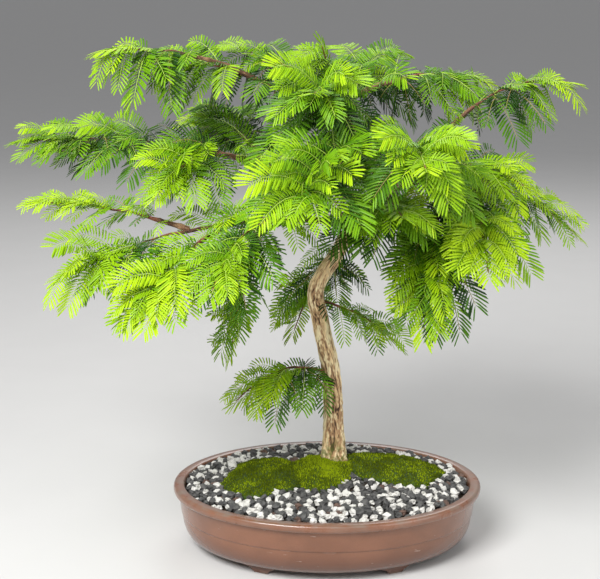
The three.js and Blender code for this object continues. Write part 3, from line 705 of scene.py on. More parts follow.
# %% Trunk line and ground heights
TRUNK_STATIONS = np.array([
    (37.3, 22, 75.2, 11.5), (36.5, 22, 119, 9.6), (33.7, 22, 171.5, 8.6),
    (23, 20, 223.6, 7.9), (19, 18, 257, 7.6), (38.5, 14, 291, 6.8),
    (61.5, 10, 329, 6), (89, 10, 356.5, 5.1), (113, 12, 375.5, 4.6),
])
POT_STATION_X = 30.0
TRUNK_LINE = TRUNK_STATIONS[:, :3] + np.array([POT_MIDDLE[0] - POT_STATION_X, POT_MIDDLE[1], 0])
TRUNK_RADII = TRUNK_STATIONS[:, 3]
TRUNK_FOOT = TRUNK_LINE[0]
GROUND_EDGE = 58.5
GROUND_TOP = 74.9
GROUND_CURVE = 1.6
PLATEAU = 0.17
GROUND_HALF_WIDTH = MOUTH - 1
GROUND_HALF_LENGTH = GROUND_HALF_WIDTH + RIM_HALF_LENGTH - RIM_HALF_WIDTH


def ground_height(share):
    """The top less its fall to the edge times (share beyond the plateau) to a power."""
    out = np.maximum(share - PLATEAU, 0) / (1 - PLATEAU)
    return GROUND_TOP - (GROUND_TOP - GROUND_EDGE) * out**GROUND_CURVE


def ground_share(x, y):
    """Which shrunk oval a place lies on, from the quadratic |place - foot (1 - s)| = s."""
    half = np.array([GROUND_HALF_LENGTH, GROUND_HALF_WIDTH])
    foot = (TRUNK_FOOT[:2] - POT_MIDDLE) / half
    place = (np.stack([x, y], -1) - POT_MIDDLE) / half - foot
    lead = place @ foot
    room = 1 - foot @ foot
    return (lead + np.sqrt(lead**2 + room * (place**2).sum(-1))) / room


def ground_spot(share, turn):
    """The place on a level line at a turn, and its height."""
    edge = on_oval(np.full_like(turn, GROUND_HALF_WIDTH), turn)
    flat = TRUNK_FOOT[:2] + (edge - TRUNK_FOOT[:2]) * share[..., None]
    return np.concatenate([flat, ground_height(share)[..., None]], -1)


print("half of the ground:", np.round([GROUND_HALF_LENGTH, GROUND_HALF_WIDTH], 1), "mm")

# %% [markdown]
# Of the soil itself only dark, damp specks show between the chips. It could be one flat disc,
# but the chips stand on a mound, so it is a sheet of rings that follows the ground a little
# lower than the chips, closed by a wall and a floor.

# %% The soil under the grit
SOIL_SINK = 2.6
SOIL_GRAIN = 1.2
SOIL_RINGS = 24
SOIL_SIDES = 120
SOIL_BOTTOM = POT_FLOOR + 2
SOIL_UNDERSIDE = (1.0, GROUND_EDGE - 28), (0.92, SOIL_BOTTOM), (0.1, SOIL_BOTTOM)


def soil_bed():
    """Rings of the ground from the trunk out to the wall, then down the wall to the floor."""
    shares, heights = np.array(SOIL_UNDERSIDE).T
    shares = np.concatenate([np.linspace(0.02, 1, SOIL_RINGS), shares])
    share, turn = np.meshgrid(shares, turns_round(SOIL_SIDES), indexing="ij")
    points = ground_spot(share, turn)
    grain = ring_noise(turn / TURN, share * 100, 60, 3.0, 5)
    points[..., 2] += SOIL_GRAIN * (grain - 0.5) - SOIL_SINK
    points[SOIL_RINGS:, :, 2] = heights[:, None]
    top = (*TRUNK_FOOT[:2], GROUND_TOP - SOIL_SINK)
    bottom = (*TRUNK_FOOT[:2], SOIL_BOTTOM)
    return closed(points, top, bottom), turned_over(ring_faces(len(shares), SOIL_SIDES))


SOIL = mottled("soil", linear(58, 46, 36), linear(36, 29, 24), share=0.8, broad=12, fine=1.2,
               roughness=0.95, bump=0.6)
soil_points, soil_faces = soil_bed()
add_piece("soil_bed", soil_points, soil_faces, SOIL, "gravel", ["soil"])

# %% [markdown]
# ## Moss patches
# Three cushions of moss hide the soil round the trunk. A cushion is a low dome with a
# wavering edge, lumpy on top. What makes it read as moss is its pile, so thousands of tiny
# tapered tufts stand on each dome, leaning out from it.

# %% Moss domes
MOSS_THICKNESS = 7.0
MOSS_LUMP = 3.4
MOSS_SUNK = 0.6
MOSS_UNDER = 2.5
NOISE_ROUND = 200
MOSS_RINGS = 30
MOSS_SIDES = 96
MOSS_PATCHES = [
    {"x": -64, "y": -7, "half": (40, 46), "wobble": 0.5, "brighter": 0.0},
    {"x": -6, "y": -4, "half": (32, 40), "wobble": 2.1, "brighter": 0.46},
    {"x": 68, "y": 14, "half": (54, 42), "wobble": 4.0, "brighter": 0.0},
]


def flat_noise(x, y, cells, cell_depth, draw):
    """The soft noise over flat ground, where 200 mm along x count as once round."""
    return ring_noise(np.mod(x / NOISE_ROUND, 1), y, cells, cell_depth, draw)


def moss_edge(turn, wobble):
    """The waver of a cushion's edge: 1 + 0.07 sin(3 turn + w) + 0.05 sin(5 turn - w), with
    two finer waves for small lobes."""
    slow = 0.07 * np.sin(3 * turn + wobble) + 0.05 * np.sin(5 * turn - wobble)
    return 1 + slow + 0.025 * np.sin(11 * turn + 2 * wobble) + 0.015 * np.sin(19 * turn)


def moss_spot(patch, out, turn):
    """A place on a cushion at a share out from its middle: the ground's height plus a dome
    of thickness sqrt(1 - out^2), with lumps from two sizes of noise."""
    reach = out * moss_edge(turn, patch["wobble"])
    x = POT_MIDDLE[0] + patch["x"] + patch["half"][0] * reach * np.cos(turn)
    y = POT_MIDDLE[1] + patch["y"] - patch["half"][1] * reach * np.sin(turn)
    dome = np.sqrt(np.clip(1 - out**2, 0, 1))
    lump = flat_noise(x, y, 15, 13, 11) * MOSS_LUMP + flat_noise(x, y, 44, 4.4, 12) * MOSS_LUMP / 2
    thickness = (MOSS_THICKNESS - MOSS_LUMP + lump) * dome
    return np.stack([x, y, ground_height(ground_share(x, y)) + thickness - MOSS_SUNK], -1)


def moss_dome(patch):
    """A closed cushion: rings from the middle to the edge, and a flat underside."""
    shares = np.sin(np.linspace(0.03, 1, MOSS_RINGS) * math.pi / 2)
    out, turn = np.meshgrid(shares, turns_round(MOSS_SIDES), indexing="ij")
    top = moss_spot(patch, out, turn)
    under = top[-1:] - UP * MOSS_UNDER
    middle = moss_spot(patch, np.zeros(1), np.zeros(1))[0]
    return closed(np.concatenate([top, under]), middle, under[0].mean(0))


MOSS_DARK = mottled("moss_bed", linear(62, 84, 16), linear(38, 56, 12), share=0.9, broad=9,
                    fine=1.0, roughness=0.95, bump=0.6)
add_piece("moss_cushions", np.vstack([moss_dome(patch) for patch in MOSS_PATCHES]),
          tube_faces(len(MOSS_PATCHES), MOSS_RINGS + 1, MOSS_SIDES), MOSS_DARK, "moss", ["moss"])

# %% [markdown]
# Seen close, moss is a pile of short green tips. Hair could make them, but a library part has
# to be plain meshes, so each tip is a spike of four triangles. Chance and a broad noise pick
# one of three greens for each, so that the colour changes in patches as it does in real moss.

# %% Moss pile
TUFT_COUNT = 5200
TUFT_HEIGHT = 1.7
TUFT_WIDTH = 0.85
TUFT_UPRIGHT = (0.55, 1.0)
TUFT_GROWTH = (0.55, 0.75)
TUFT_SUNK = 0.5
TUFT_EDGES = [0.5, 0.98]
TUFTS_FROM_TRUNK = 13


def moss_tufts(patch, seed):
    """Three-sided spikes whose feet are dealt evenly over the dome: out is the square root
    of a chance, and each leans outwards and by chance. The second result is a number that
    says how bright each is."""
    rows = np.arange(TUFT_COUNT) + seed * TUFT_COUNT
    out, turn = np.sqrt(chance(rows, 1)) * 0.985, chance(rows, 2) * TURN
    foot = moss_spot(patch, out, turn)
    beside = moss_spot(patch, np.minimum(out + 0.04, 1.0), turn)
    lean = np.stack([play(rows, 3), play(rows, 4), between(rows, 5, *TUFT_UPRIGHT)], -1)
    outward = unit(beside - foot + 1e-9) * np.clip(out - 0.5, 0, 1)[:, None]
    tip = foot + unit(lean + outward) * (TUFT_HEIGHT * between(rows, 6, *TUFT_GROWTH))[:, None]
    spin = chance(rows, 7)[:, None] * TURN + turns_round(3)
    ring = np.stack([np.cos(spin), np.sin(spin), np.zeros_like(spin)], -1) * TUFT_WIDTH
    base = foot[:, None] + ring - UP * TUFT_SUNK
    broad = flat_noise(foot[:, 0], foot[:, 1], 13, 15, 13) - 0.5
    return np.concatenate([base, tip[:, None]], 1), chance(rows, 8) + broad + patch["brighter"]


TUFT_FACES = np.array([(0, 1, 3), (1, 2, 3), (2, 0, 3), (0, 2, 1)])


def moss_tone(name, main, other):
    """Two dull greens in lumps of 8 mm, with almost no shine."""
    return mottled(name, main, other, share=0.8, broad=8, fine=1.0, roughness=0.95, bump=0.0,
                   Specular_IOR_Level=0.1)


MOSS_TONES = {
    "olive": moss_tone("moss_olive", linear(78, 90, 6), linear(58, 70, 4)),
    "green": moss_tone("moss_green", linear(102, 118, 8), linear(82, 98, 6)),
    "bright": moss_tone("moss_bright", linear(150, 168, 16), linear(128, 146, 12)),
}
tufts, brightness = map(np.concatenate, zip(*(
    moss_tufts(patch, seed) for seed, patch in enumerate(MOSS_PATCHES))))
clear_of_trunk = np.linalg.norm(tufts[:, 3, :2] - TRUNK_FOOT[:2], axis=1) > TUFTS_FROM_TRUNK
tone_of = np.digitize(brightness, TUFT_EDGES)
for number, (tone, material) in enumerate(MOSS_TONES.items()):
    chosen = tufts[(tone_of == number) & clear_of_trunk]
    add_piece(f"moss_{tone}", chosen.reshape(-1, 3), [repeated(TUFT_FACES, len(chosen), 4)],
              material, "moss", ["moss"])

# %% [markdown]
# ## Grit
# Only now is it known where the moss lies, so the chips are thrown on what is left of the
# ground. White chips are smooth and bright, the lava is rougher and pitted. They could be
# dropped in a simulation, but places that are dealt out give the same even cover every time.

# %% Grit
CHIP_STEP = 7.3
CHIP_SIZE = 4.7
CHIP_SIDES = 6
CHIP_TILTS = (60, 120)
CORNER_STEP = 0.13
CORNER_REACH = (0.72, 0.46)
CHIP_GROWTH = (0.74, 0.52)
CHIP_BREADTH = (0.74, 0.24)
CHIP_THICKNESS = (0.62, 0.24)
CHIP_NOD = 1.6
SECOND_LAYER = 0.42
DEAL_ACROSS, DEAL_UP = 0.7549, 0.5698
DEAL_PLAY = 0.4
HEAPED = 2.4
SORT_EDGES = [0.42, 0.95]
HONEYCOMB = 0.87
CHIP_SCATTER = 0.55
CHIPS_FROM_TRUNK = 15
RIM_SHARE = 0.985
MOSS_SHARE = 0.97
LAYER_SHARE = 0.05
CHIP_SUNK = 1.5
LAYER_RISE = 2.1
HEAP_FROM, HEAP_OVER = 0.55, 0.3


def chip_places():
    """A honeycomb over the pot's mouth, each spot moved a little, off the moss and trunk.
    Every spot is dealt a number, the part behind the point of a step across plus a step up,
    which keeps like numbers apart, so white chips and dark ones come out well mixed. They
    are heaped a little towards the rim."""
    columns = np.arange(-GROUND_HALF_LENGTH, GROUND_HALF_LENGTH, CHIP_STEP)
    rows = np.arange(-GROUND_HALF_WIDTH, GROUND_HALF_WIDTH, CHIP_STEP * HONEYCOMB)
    x, y = np.meshgrid(columns, rows)
    across, up = np.meshgrid(np.arange(len(columns)), np.arange(len(rows)))
    deal = (DEAL_ACROSS * across + DEAL_UP * up).ravel()
    x = x + (np.arange(len(rows)) % 2)[:, None] * CHIP_STEP / 2
    spots = np.stack([x.ravel(), y.ravel()], -1)
    count = np.arange(len(spots))
    thrown = chance(count, 9) < SECOND_LAYER
    second = spots[thrown] + CHIP_STEP / 2
    layer = np.concatenate([np.zeros(len(spots)), np.ones(len(second))])
    deal = np.concatenate([deal, deal[thrown] + 0.5])
    spots = np.vstack([spots, second])
    count = np.arange(len(spots))
    scatter = CHIP_STEP * CHIP_SCATTER * np.stack([play(count, 1), play(count, 2)], -1)
    spots = spots + scatter + POT_MIDDLE
    share = ground_share(spots[:, 0], spots[:, 1])
    keep = share < RIM_SHARE
    for patch in MOSS_PATCHES:
        dx = (spots[:, 0] - POT_MIDDLE[0] - patch["x"]) / patch["half"][0]
        dy = -(spots[:, 1] - POT_MIDDLE[1] - patch["y"]) / patch["half"][1]
        reach = np.hypot(dx, dy) / moss_edge(np.arctan2(dy, dx), patch["wobble"])
        keep &= reach > MOSS_SHARE + LAYER_SHARE * layer
    keep &= np.linalg.norm(spots - TRUNK_FOOT[:2], axis=1) > CHIPS_FROM_TRUNK
    heap = HEAPED * np.clip((share - HEAP_FROM) / HEAP_OVER, 0, 1)
    height = ground_height(share) - CHIP_SUNK + heap + LAYER_RISE * layer + play(count, 3)
    deal = np.mod(deal + DEAL_PLAY * play(count, 8), 1)
    return np.column_stack([spots, height])[keep], count[keep], deal[keep]


def chips(places, rows):
    """Each chip is two rings of six corners between two poles. Chance moves every corner in
    or out, then the chip is squeezed, turned and put in its place, so its faces are flat and
    its edges are sharp."""
    tilt, turn = np.meshgrid(np.radians(CHIP_TILTS), turns_round(CHIP_SIDES), indexing="ij")
    turn = turn + np.array([[0.0], [math.pi / CHIP_SIDES]])
    ball = np.stack([np.sin(tilt) * np.cos(turn), np.sin(tilt) * np.sin(turn), -np.cos(tilt)], -1)
    ball = closed(ball, -UP, UP)
    corner = CORNER_STEP * np.arange(len(ball))
    radius = between(rows[:, None] + corner, 21, *CORNER_REACH)
    size = CHIP_SIZE * between(rows, 24, *CHIP_GROWTH)[:, None]
    squeeze = np.stack([np.ones(len(rows)), between(rows, 25, *CHIP_BREADTH),
                        between(rows, 26, *CHIP_THICKNESS)], -1)
    shape = ball[None] * radius[..., None] * size[..., None] * squeeze[:, None]
    yaw, nod = TURN * chance(rows, 27)[:, None], CHIP_NOD * play(rows, 28)[:, None]
    x = shape[..., 0] * np.cos(nod) + shape[..., 2] * np.sin(nod)
    z = shape[..., 2] * np.cos(nod) - shape[..., 0] * np.sin(nod)
    y = shape[..., 1]
    turned = [x * np.cos(yaw) - y * np.sin(yaw), x * np.sin(yaw) + y * np.cos(yaw), z]
    return np.stack(turned, -1) + places[:, None]


GRIT = {
    "grit_white": mottled("grit_white", linear(216, 214, 208), linear(192, 189, 182), share=0.6,
                          broad=5, fine=0.8, roughness=0.6, bump=0.35),
    "grit_dark": mottled("grit_dark", linear(92, 91, 89), linear(60, 60, 60), share=0.9, broad=4,
                         fine=0.7, roughness=0.8, bump=0.9, bump_height=0.5, grain=1.0),
    "grit_brown": mottled("grit_brown", linear(112, 88, 76), linear(84, 66, 58), share=0.9,
                          broad=4, fine=0.7, roughness=0.8, bump=0.8, bump_height=0.5),
}
places, place_rows, deals = chip_places()
sort_of = np.digitize(deals, SORT_EDGES)
for number, (name, material) in enumerate(GRIT.items()):
    mine = sort_of == number
    points = chips(places[mine], place_rows[mine])
    add_piece(name, points.reshape(-1, 3), tube_faces(len(points), len(CHIP_TILTS), CHIP_SIDES),
              material, "gravel", ["soil"], smooth=False)
print("chips of grit:", len(places))

# %% [markdown]
# ## The trunk
# Dawn redwood bark is fibrous: long pale ridges that run up the trunk with dark fissures
# between them, lightly twisted. A flat picture of bark would look painted at the outline, so
# the relief is in the mesh: rings of points round the trunk's line are pushed in and out by
# noise that is narrow across and long upwards. The depth of each point is kept as a mark, and
# the material is dark where the mark says fissure: partly the bark's own darker colour and
# partly painted shade in the cuts.

# %% Trunk curve
FLARE = 0.34
FLARE_HEIGHT = 13.0
ROOT_LOBES = 5
BARK_TWIST = 900
BARK_CONTRAST = 1.7
BARK_GRAINS = (1, 1, 31), (2, 0.45, 32), (4, 0.18, 33), (0.5, 1.7, 35)
FISSURE_WIDTH, FISSURE_DEPTH = 0.07, 0.5
CRACK_WIDTH, CRACK_DEPTH = 0.08, 0.4


def trunk_point(t):
    """A smooth cubic through the stations: between two of them it leaves and arrives with
    half the step between their neighbours."""
    first, last = 2 * TRUNK_LINE[0] - TRUNK_LINE[1], 2 * TRUNK_LINE[-1] - TRUNK_LINE[-2]
    line = np.vstack([first, TRUNK_LINE, last])
    place = np.clip(np.asarray(t, float), 0, 1) * (len(TRUNK_LINE) - 1)
    k = np.minimum(place.astype(int), len(TRUNK_LINE) - 2)
    w = (place - k)[..., None]
    before, here, there, after = (line[k + step] for step in range(4))
    leave, arrive = (there - before) / 2, (after - here) / 2
    square = 3 * (there - here) - 2 * leave - arrive
    cube = 2 * (here - there) + leave + arrive
    return here + leave * w + square * w**2 + cube * w**3


def trunk_radius(t):
    """Straight between the stations' radii."""
    place = np.clip(t, 0, 1) * (len(TRUNK_RADII) - 1)
    return np.interp(place, np.arange(len(TRUNK_RADII)), TRUNK_RADII)


def middle_line(field, width):
    """1 where a noise crosses its middle, falling to 0 a little away from there."""
    return np.clip(1 - np.abs(field - 0.5) / width, 0, 1)


def bark_depth(turn, height, cells, fibre):
    """How deep the bark is cut, 0 on a crest and 1 in a fissure: three sizes of noise that is
    narrow round the stem and long up it, pulled to and fro, with its contrast raised, and
    thin cracks where a broad noise and a short one cross their middle."""
    warp = ring_noise(np.mod(turn, 1), height, 5, fibre * 2.2, 34) - 0.5
    twisted = np.mod(turn + height / BARK_TWIST + 0.1 * warp, 1)
    streak, short, fine, broad = (
        ring_noise(twisted, height, int(cells * narrower), fibre * longer, draw)
        for narrower, longer, draw in BARK_GRAINS)
    fissure = middle_line(broad, FISSURE_WIDTH) * (0.3 + 0.7 * short)
    crack = middle_line(short, CRACK_WIDTH) * streak
    depth = 0.34 + BARK_CONTRAST * (0.34 * streak + 0.32 * short + 0.34 * fine - 0.5)
    return np.clip(depth + FISSURE_DEPTH * fissure + CRACK_DEPTH * crack, 0, 1)


print("top of the trunk at", np.round(trunk_point(1.0), 1), "mm")

# %% [markdown]
# The trunk's mesh follows that line. A displacement modifier could cut the bark into it, but
# with arrays the same depths also become the mark that colours the fissures. The rings stay
# square to the line, so the trunk stays round in its bends.

# %% Trunk mesh
TRUNK_SIDES = 112
TRUNK_RINGS = 480
END_RINGS = 5
BARK_CELLS = 26
BARK_FIBRE = 14.0
BARK_CREST = 0.9
BARK_DEEPEST = 1.9
TRUNK_WAVERS = (0.05, 4, 26, 41), (0.06, 6, 12, 42)
MOSSY_HEIGHT = 38
MOSSY_STEP = (0.4, 0.6)


def trunk_mesh():
    """Rings square to the trunk's line. The radius is the taper, times the root flare
    1 + f lobes exp(-height / h), times a slow waver, less the bark's depth."""
    t = np.linspace(0, 1, TRUNK_RINGS)
    centre = trunk_point(t)
    along = unit(np.gradient(centre, axis=0))
    along[0] = UP
    side = unit(np.cross(np.array([0.0, 1.0, 0.0]), along))
    depth = unit(np.cross(side, along))
    height = np.concatenate([[0], np.cumsum(np.linalg.norm(np.diff(centre, axis=0), axis=1))])
    turn = np.linspace(0, 1, TRUNK_SIDES, endpoint=False)
    h, a = np.meshgrid(height, turn, indexing="ij")
    lobes = 0.6 + 0.4 * np.cos(ROOT_LOBES * a * TURN + 0.7)
    flare = 1 + FLARE * lobes * np.exp(-h / FLARE_HEIGHT)
    waver = 1
    for size, cells, cell_height, draw in TRUNK_WAVERS:
        waver = waver + size * (ring_noise(a, h, cells, cell_height, draw) - 0.5)
    cut = bark_depth(a, h, BARK_CELLS, BARK_FIBRE)
    scale = np.clip(trunk_radius(t) / TRUNK_RADII[1], 0.5, 1.1)[:, None]
    radius = trunk_radius(t)[:, None] * flare * waver + (BARK_CREST - BARK_DEEPEST * cut) * scale
    end = np.clip((1 - t) * TRUNK_RINGS / END_RINGS, 0.2, 1)[:, None] ** 0.5
    points = tube_rings(centre, depth, side, radius * end, TRUNK_SIDES)
    marks = np.concatenate([np.maximum(cut, 1 - end).ravel(), [0.5, 0.9]])
    return closed(points, centre[0], centre[-1] + along[-1] * 0.6), marks


def bark_finish(name, crest, patch, middle, fissure, roughness, bump, mossy=None):
    """Bark by its fissure mark. A mossy one turns green towards its foot, where noise says."""

    def colour_of(tree):
        made = use(tree, BARK, Crest=crest, Patch=patch, Middle=middle, Fissure=fissure)
        colour = made.outputs["Colour"]
        if mossy is not None:
            low = height_step(tree, GROUND_TOP + MOSSY_HEIGHT, GROUND_TOP)
            patches = stepped(tree, noise(tree, 5, 4.0), *MOSSY_STEP)
            colour = mixed(tree, computed(tree, "MULTIPLY", low, patches), colour, mossy)
        return colour, made.outputs["Height"], None

    return finish(name, roughness, colour_of, bump, 0.4)


TRUNK_BARK = bark_finish("trunk_bark", linear(250, 232, 188), linear(228, 198, 150),
                         linear(184, 146, 106), linear(74, 52, 37), roughness=0.85, bump=0.9,
                         mossy=linear(92, 104, 26))
trunk_points, trunk_marks = trunk_mesh()
add_piece("trunk_bark", trunk_points, ring_faces(TRUNK_RINGS, TRUNK_SIDES), TRUNK_BARK, "bark",
          ["trunk"], fissure=trunk_marks)

# %% [markdown]
# ## Limbs
# The table lists every limb: its parent and where it leaves it, then its tip as a heading
# round the trunk's foot, a reach and a height, how far it arches and bows, how much of it is
# bare, how long its shoots are, and how steeply they fall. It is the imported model's own rule,
# written again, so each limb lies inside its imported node.

# %% The limb table
LIMB_FIELDS = ("name", "parent", "at", "heading", "reach", "height", "arch", "bow", "foot",
               "spread", "fall")
LIMBS = {
    "left": [
        ("left_low", "trunk", 0.72, -154, 278, 292, 24, 0, 0.6, 78, 36),
        ("left_low_front", "left_low", 0.4, -132, 247, 262, 16, 8, 0.34, 76, 44),
        ("left_inner", "left_low", 0.2, -120, 218, 292, 20, 10, 0.4, 72, 48),
        ("left_hang", "left_low", 0.3, -163, 106, 194, 22, -8, 0.4, 60, 60),
        ("left_back_low", "trunk", 0.66, 134, 60, 196, 16, 0, 0.28, 52, 44),
        ("left_pale", "left_low", 0.57, -166, 288, 353, 6, 4, 0.2, 46, 12),
        ("left_far", "trunk", 0.8, 174, 313, 395, 24, 0, 0.46, 66, 28),
        ("left_far_low", "left_far", 0.42, 162, 308, 376, 6, 6, 0.46, 56, 24),
        ("left_mid", "left_far", 0.35, -150, 188, 360, 18, 8, 0.22, 68, 40),
        ("back_left", "left_far", 0.3, 130, 208, 384, 20, 0, 0.34, 84, 36),
    ],
    "top": [
        ("leader", "trunk", 0.83, -115, 36, 496, 0, 14, 0.62, 74, 24),
        ("left_top", "leader", 0.42, 174, 180, 478, 18, -8, 0.5, 68, 40),
        ("left_top_tip", "left_top", 0.46, -164, 222, 487, 12, 6, 0.5, 68, 62),
        ("apex_left", "leader", 0.535, 166, 112, 484, 16, 0, 0.3, 74, 36),
        ("back_high", "leader", 0.5, 74, 150, 449, 20, 0, 0.32, 80, 34),
        ("front_top", "leader", 0.34, -100, 128, 455, 20, 6, 0.3, 84, 36),
        ("front_left", "leader", 0.25, -103, 205, 360, 26, -10, 0.34, 80, 40),
    ],
    "right": [
        ("front_right", "trunk", 0.92, -72, 218, 400, 24, 0, 0.36, 80, 38),
        ("front_low", "trunk", 0.76, -70, 158, 352, 14, 0, 0, 64, 44),
        ("right_top", "trunk", 0.995, -3, 224, 455, 31, 0, 0.34, 60, 40),
        ("apex_right", "leader", 0.6, 22, 162, 452, 16, 0, 0.36, 74, 50),
        ("right_mid", "trunk", 0.93, -22, 192, 362, 20, 0, 0.28, 76, 43),
        ("right_far", "trunk", 0.86, 2, 240, 304, 32, 0, 0.53, 54, 44),
        ("right_front", "right_far", 0.5, -50, 200, 300, 18, 6, 0.22, 68, 48),
        ("right_hang", "right_far", 0.36, -54, 132, 234, 26, 6, 0.3, 84, 62),
        ("right_back", "right_far", 0.44, 40, 184, 304, 22, 0, 0.32, 66, 30),
    ],
    "back": [
        ("back", "trunk", 0.89, 88, 182, 368, 24, 0, 0.32, 84, 38),
        ("behind_trunk", "trunk", 0.6, 86, 52, 230, 14, 0, 0, 46, 46),
        ("low_left", "trunk", 0.24, -160, 106, 147, 20, 0, 0, 68, 64),
        ("low_right", "trunk", 0.45, -12, 64, 201, 8, 0, 0, 36, 52),
    ],
}
BOUGH_TIP_RADIUS = 1.1
BOUGH_SLENDERNESS = 0.011
TAPER_END = 0.7


def sideways(heading):
    """The level direction to the right of a heading: (sin, -cos, 0)."""
    heading = np.asarray(heading, float)
    return np.stack([np.sin(heading), -np.cos(heading), np.zeros_like(heading)], -1)


def arc(start, end, rise, bow, heading, t):
    """Straight from start to end, lifted by rise and pushed aside by bow times 4 t (1 - t)."""
    t = np.asarray(t, float)[..., None]
    swell = 4 * t * (1 - t)
    return start * (1 - t) + end * t + UP * rise * swell + sideways(heading) * bow * swell


def limb_point(limb, t):
    """A place on a limb's curve."""
    return arc(limb["root"], limb["tip"], limb["arch"], limb["bow"], limb["bearing"], t)


def grow_limbs():
    """Gives each limb its root, tip, bearing and length, once its parent has them."""
    limbs = {}
    for region, rows in LIMBS.items():
        for row in rows:
            limb = dict(zip(LIMB_FIELDS, row), region=region, index=len(limbs))
            parent = limbs.get(limb["parent"])
            limb["root"] = limb_point(parent, limb["at"]) if parent else trunk_point(limb["at"])
            turn = math.radians(limb["heading"])
            level = limb["reach"] * np.array([math.cos(turn), math.sin(turn)])
            limb["tip"] = np.array([*(TRUNK_FOOT[:2] + level), limb["height"]])
            run = limb["tip"] - limb["root"]
            limb["bearing"] = math.atan2(run[1], run[0])
            limb["length"] = float(np.linalg.norm(run))
            limbs[limb["name"]] = limb
    return limbs


limbs = grow_limbs()
longest = max(limb["length"] for limb in limbs.values())
print("limbs:", len(limbs), "longest:", round(longest), "mm")


# %% [markdown]
# A bough is reddish brown and not much thicker than a pencil, and past its bare part it goes
# on as the thin stem that bears the shoots. Both could be curves with a bevel, but tubes of
# rings can take the trunk's own bark rule, with a small knot wherever shoots leave.

# %% Boughs and stems
KNOT_STEP = 18.5
KNOT_SWELL = 0.16
KNOT_LENGTH = 1.6
WANDER = 2.2
STEM_RADIUS, STEM_TAPER = 1.5, 1.0
STEM_BLEND = 0.08
END_ROUND, END_LEAST = 0.8, 0.35
LIMB_CELLS = 6
LIMB_FIBRE = 13.0


def limb_radius(limb, t):
    """The bough's taper, then a thin stem that ends at half a millimetre."""
    thick = BOUGH_TIP_RADIUS + limb["length"] * BOUGH_SLENDERNESS
    bough = thick + (BOUGH_TIP_RADIUS - thick) * np.minimum(t / TAPER_END, 1)
    stem = STEM_RADIUS - STEM_TAPER * t
    past = np.clip((t - limb["foot"]) / STEM_BLEND, 0, 1)
    return bough * (1 - past) + np.minimum(stem, bough) * past


def limb_tube(limb, start, end, step, sides, relief):
    """A tapering tube along part of a limb with bark cut into it. The knots are small
    swellings every 18 mm or so, where shoots leave."""
    length = limb["length"] * (end - start)
    rings = max(8, int(length / step))
    t = np.linspace(start, end, rings)
    run = t * limb["length"]
    wander = [ring_noise(t * 0 + k / 3, run + 50 * limb["index"], 3, 17, 50 + k) for k in range(3)]
    wander = WANDER * (np.stack(wander, -1) - 0.5) * np.sin(math.pi * t)[:, None]
    centre = limb_point(limb, t) + wander
    along = unit(np.gradient(centre, axis=0))
    side = unit(np.broadcast_to(sideways(limb["bearing"]), along.shape))
    over = unit(np.cross(side, along))
    height, turn = np.meshgrid(run, np.arange(sides) / sides, indexing="ij")
    cut = bark_depth(turn, height + 37 * limb["index"], LIMB_CELLS, LIMB_FIBRE)
    knot = 1 + KNOT_SWELL * np.exp(-((height % KNOT_STEP - 9) / KNOT_LENGTH) ** 2)
    radius = limb_radius(limb, t)[:, None] * knot * (1 + relief * (0.3 - cut))
    to_end = np.minimum(t - start, end - t) * limb["length"]
    rounded = np.clip(to_end / END_ROUND, END_LEAST, 1)[:, None]
    points = tube_rings(centre, side, over, radius * rounded, sides)
    points = closed(points, centre[0] - along[0] * 0.2, centre[-1] + along[-1] * 0.4)
    return points, rings, np.concatenate([cut.ravel(), [0.5, 0.5]])


def add_tubes(name, node, chosen, span, step, sides, relief, bark):
    """One piece of tubes for the chosen limbs, where span gives the start and the end of
    each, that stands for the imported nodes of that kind."""
    tubes = [limb_tube(limb, *span(limb), step, sides, relief) for limb in chosen]
    points, rings, marks = zip(*tubes)
    before = np.cumsum([0, *map(len, points[:-1])])
    blocks = [[block + start for block in ring_faces(count, sides)]
              for count, start in zip(rings, before)]
    add_piece(name, np.vstack(points), [np.vstack(kind) for kind in zip(*blocks)], bark,
              "twig_bark", [f"{node}_{limb['name']}" for limb in chosen],
              fissure=np.concatenate(marks))


BOUGH_BARK = bark_finish("bough_bark", linear(150, 116, 84), linear(124, 86, 62),
                         linear(98, 68, 48), linear(52, 36, 28), roughness=0.8, bump=0.5)
STEM_BARK = bark_finish("stem_bark", linear(146, 92, 62), linear(128, 70, 48),
                        linear(104, 56, 38), linear(70, 38, 28), roughness=0.65, bump=0.3)
add_tubes("boughs", "bough", [limb for limb in limbs.values() if limb["foot"] > 0],
          lambda limb: (0, limb["foot"] + 0.02), 1.4, 14, 0.3, BOUGH_BARK)
add_tubes("stems", "foliage", list(limbs.values()),
          lambda limb: (max(limb["foot"] - 0.01, 0), 0.97), 2.2, 7, 0.16, STEM_BARK)

# %% [markdown]
# ## Sprays
# A dawn redwood bears its needles on short side shoots that stand in opposite pairs along
# each stem, and every shoot with its two rows of needles is a spray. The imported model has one
# toothed blade for each; here the same seeded rule grows a pair at every node, adds small
# sprays on the upper side of the stem, and carries long shoots on to offshoots. A spray that
# would leave its limb's own space is tried smaller and then skipped, which keeps the open
# gaps between the layers of the crown.

# %% The rule for shoots
NODE_STEP = 18.5
FIRST_SHOOT = 8
LAST_SHOOT = 0.5
FEWEST_SHOOTS = 3
SHOOTS_A_ROW = 40
SPLAY_FIRST = 68
SPLAY_LAST = 42
SHORTEST_SHARE = 0.62
MIDDLE_SWELL = 0.38
EARLY_PEAK = 1.15
TERMINAL = 76
TERMINAL_SHARE = 0.7
SPACE_SLACK = 10
HANG = 20
HANGS_FROM, WHOLE_FROM = 0.08, 0.1
STEM_SAMPLES = 16
SIZES = (1, 0.78, 0.58)
TESTED_SHARES = np.array([0.35, 0.6, 0.8, 1])


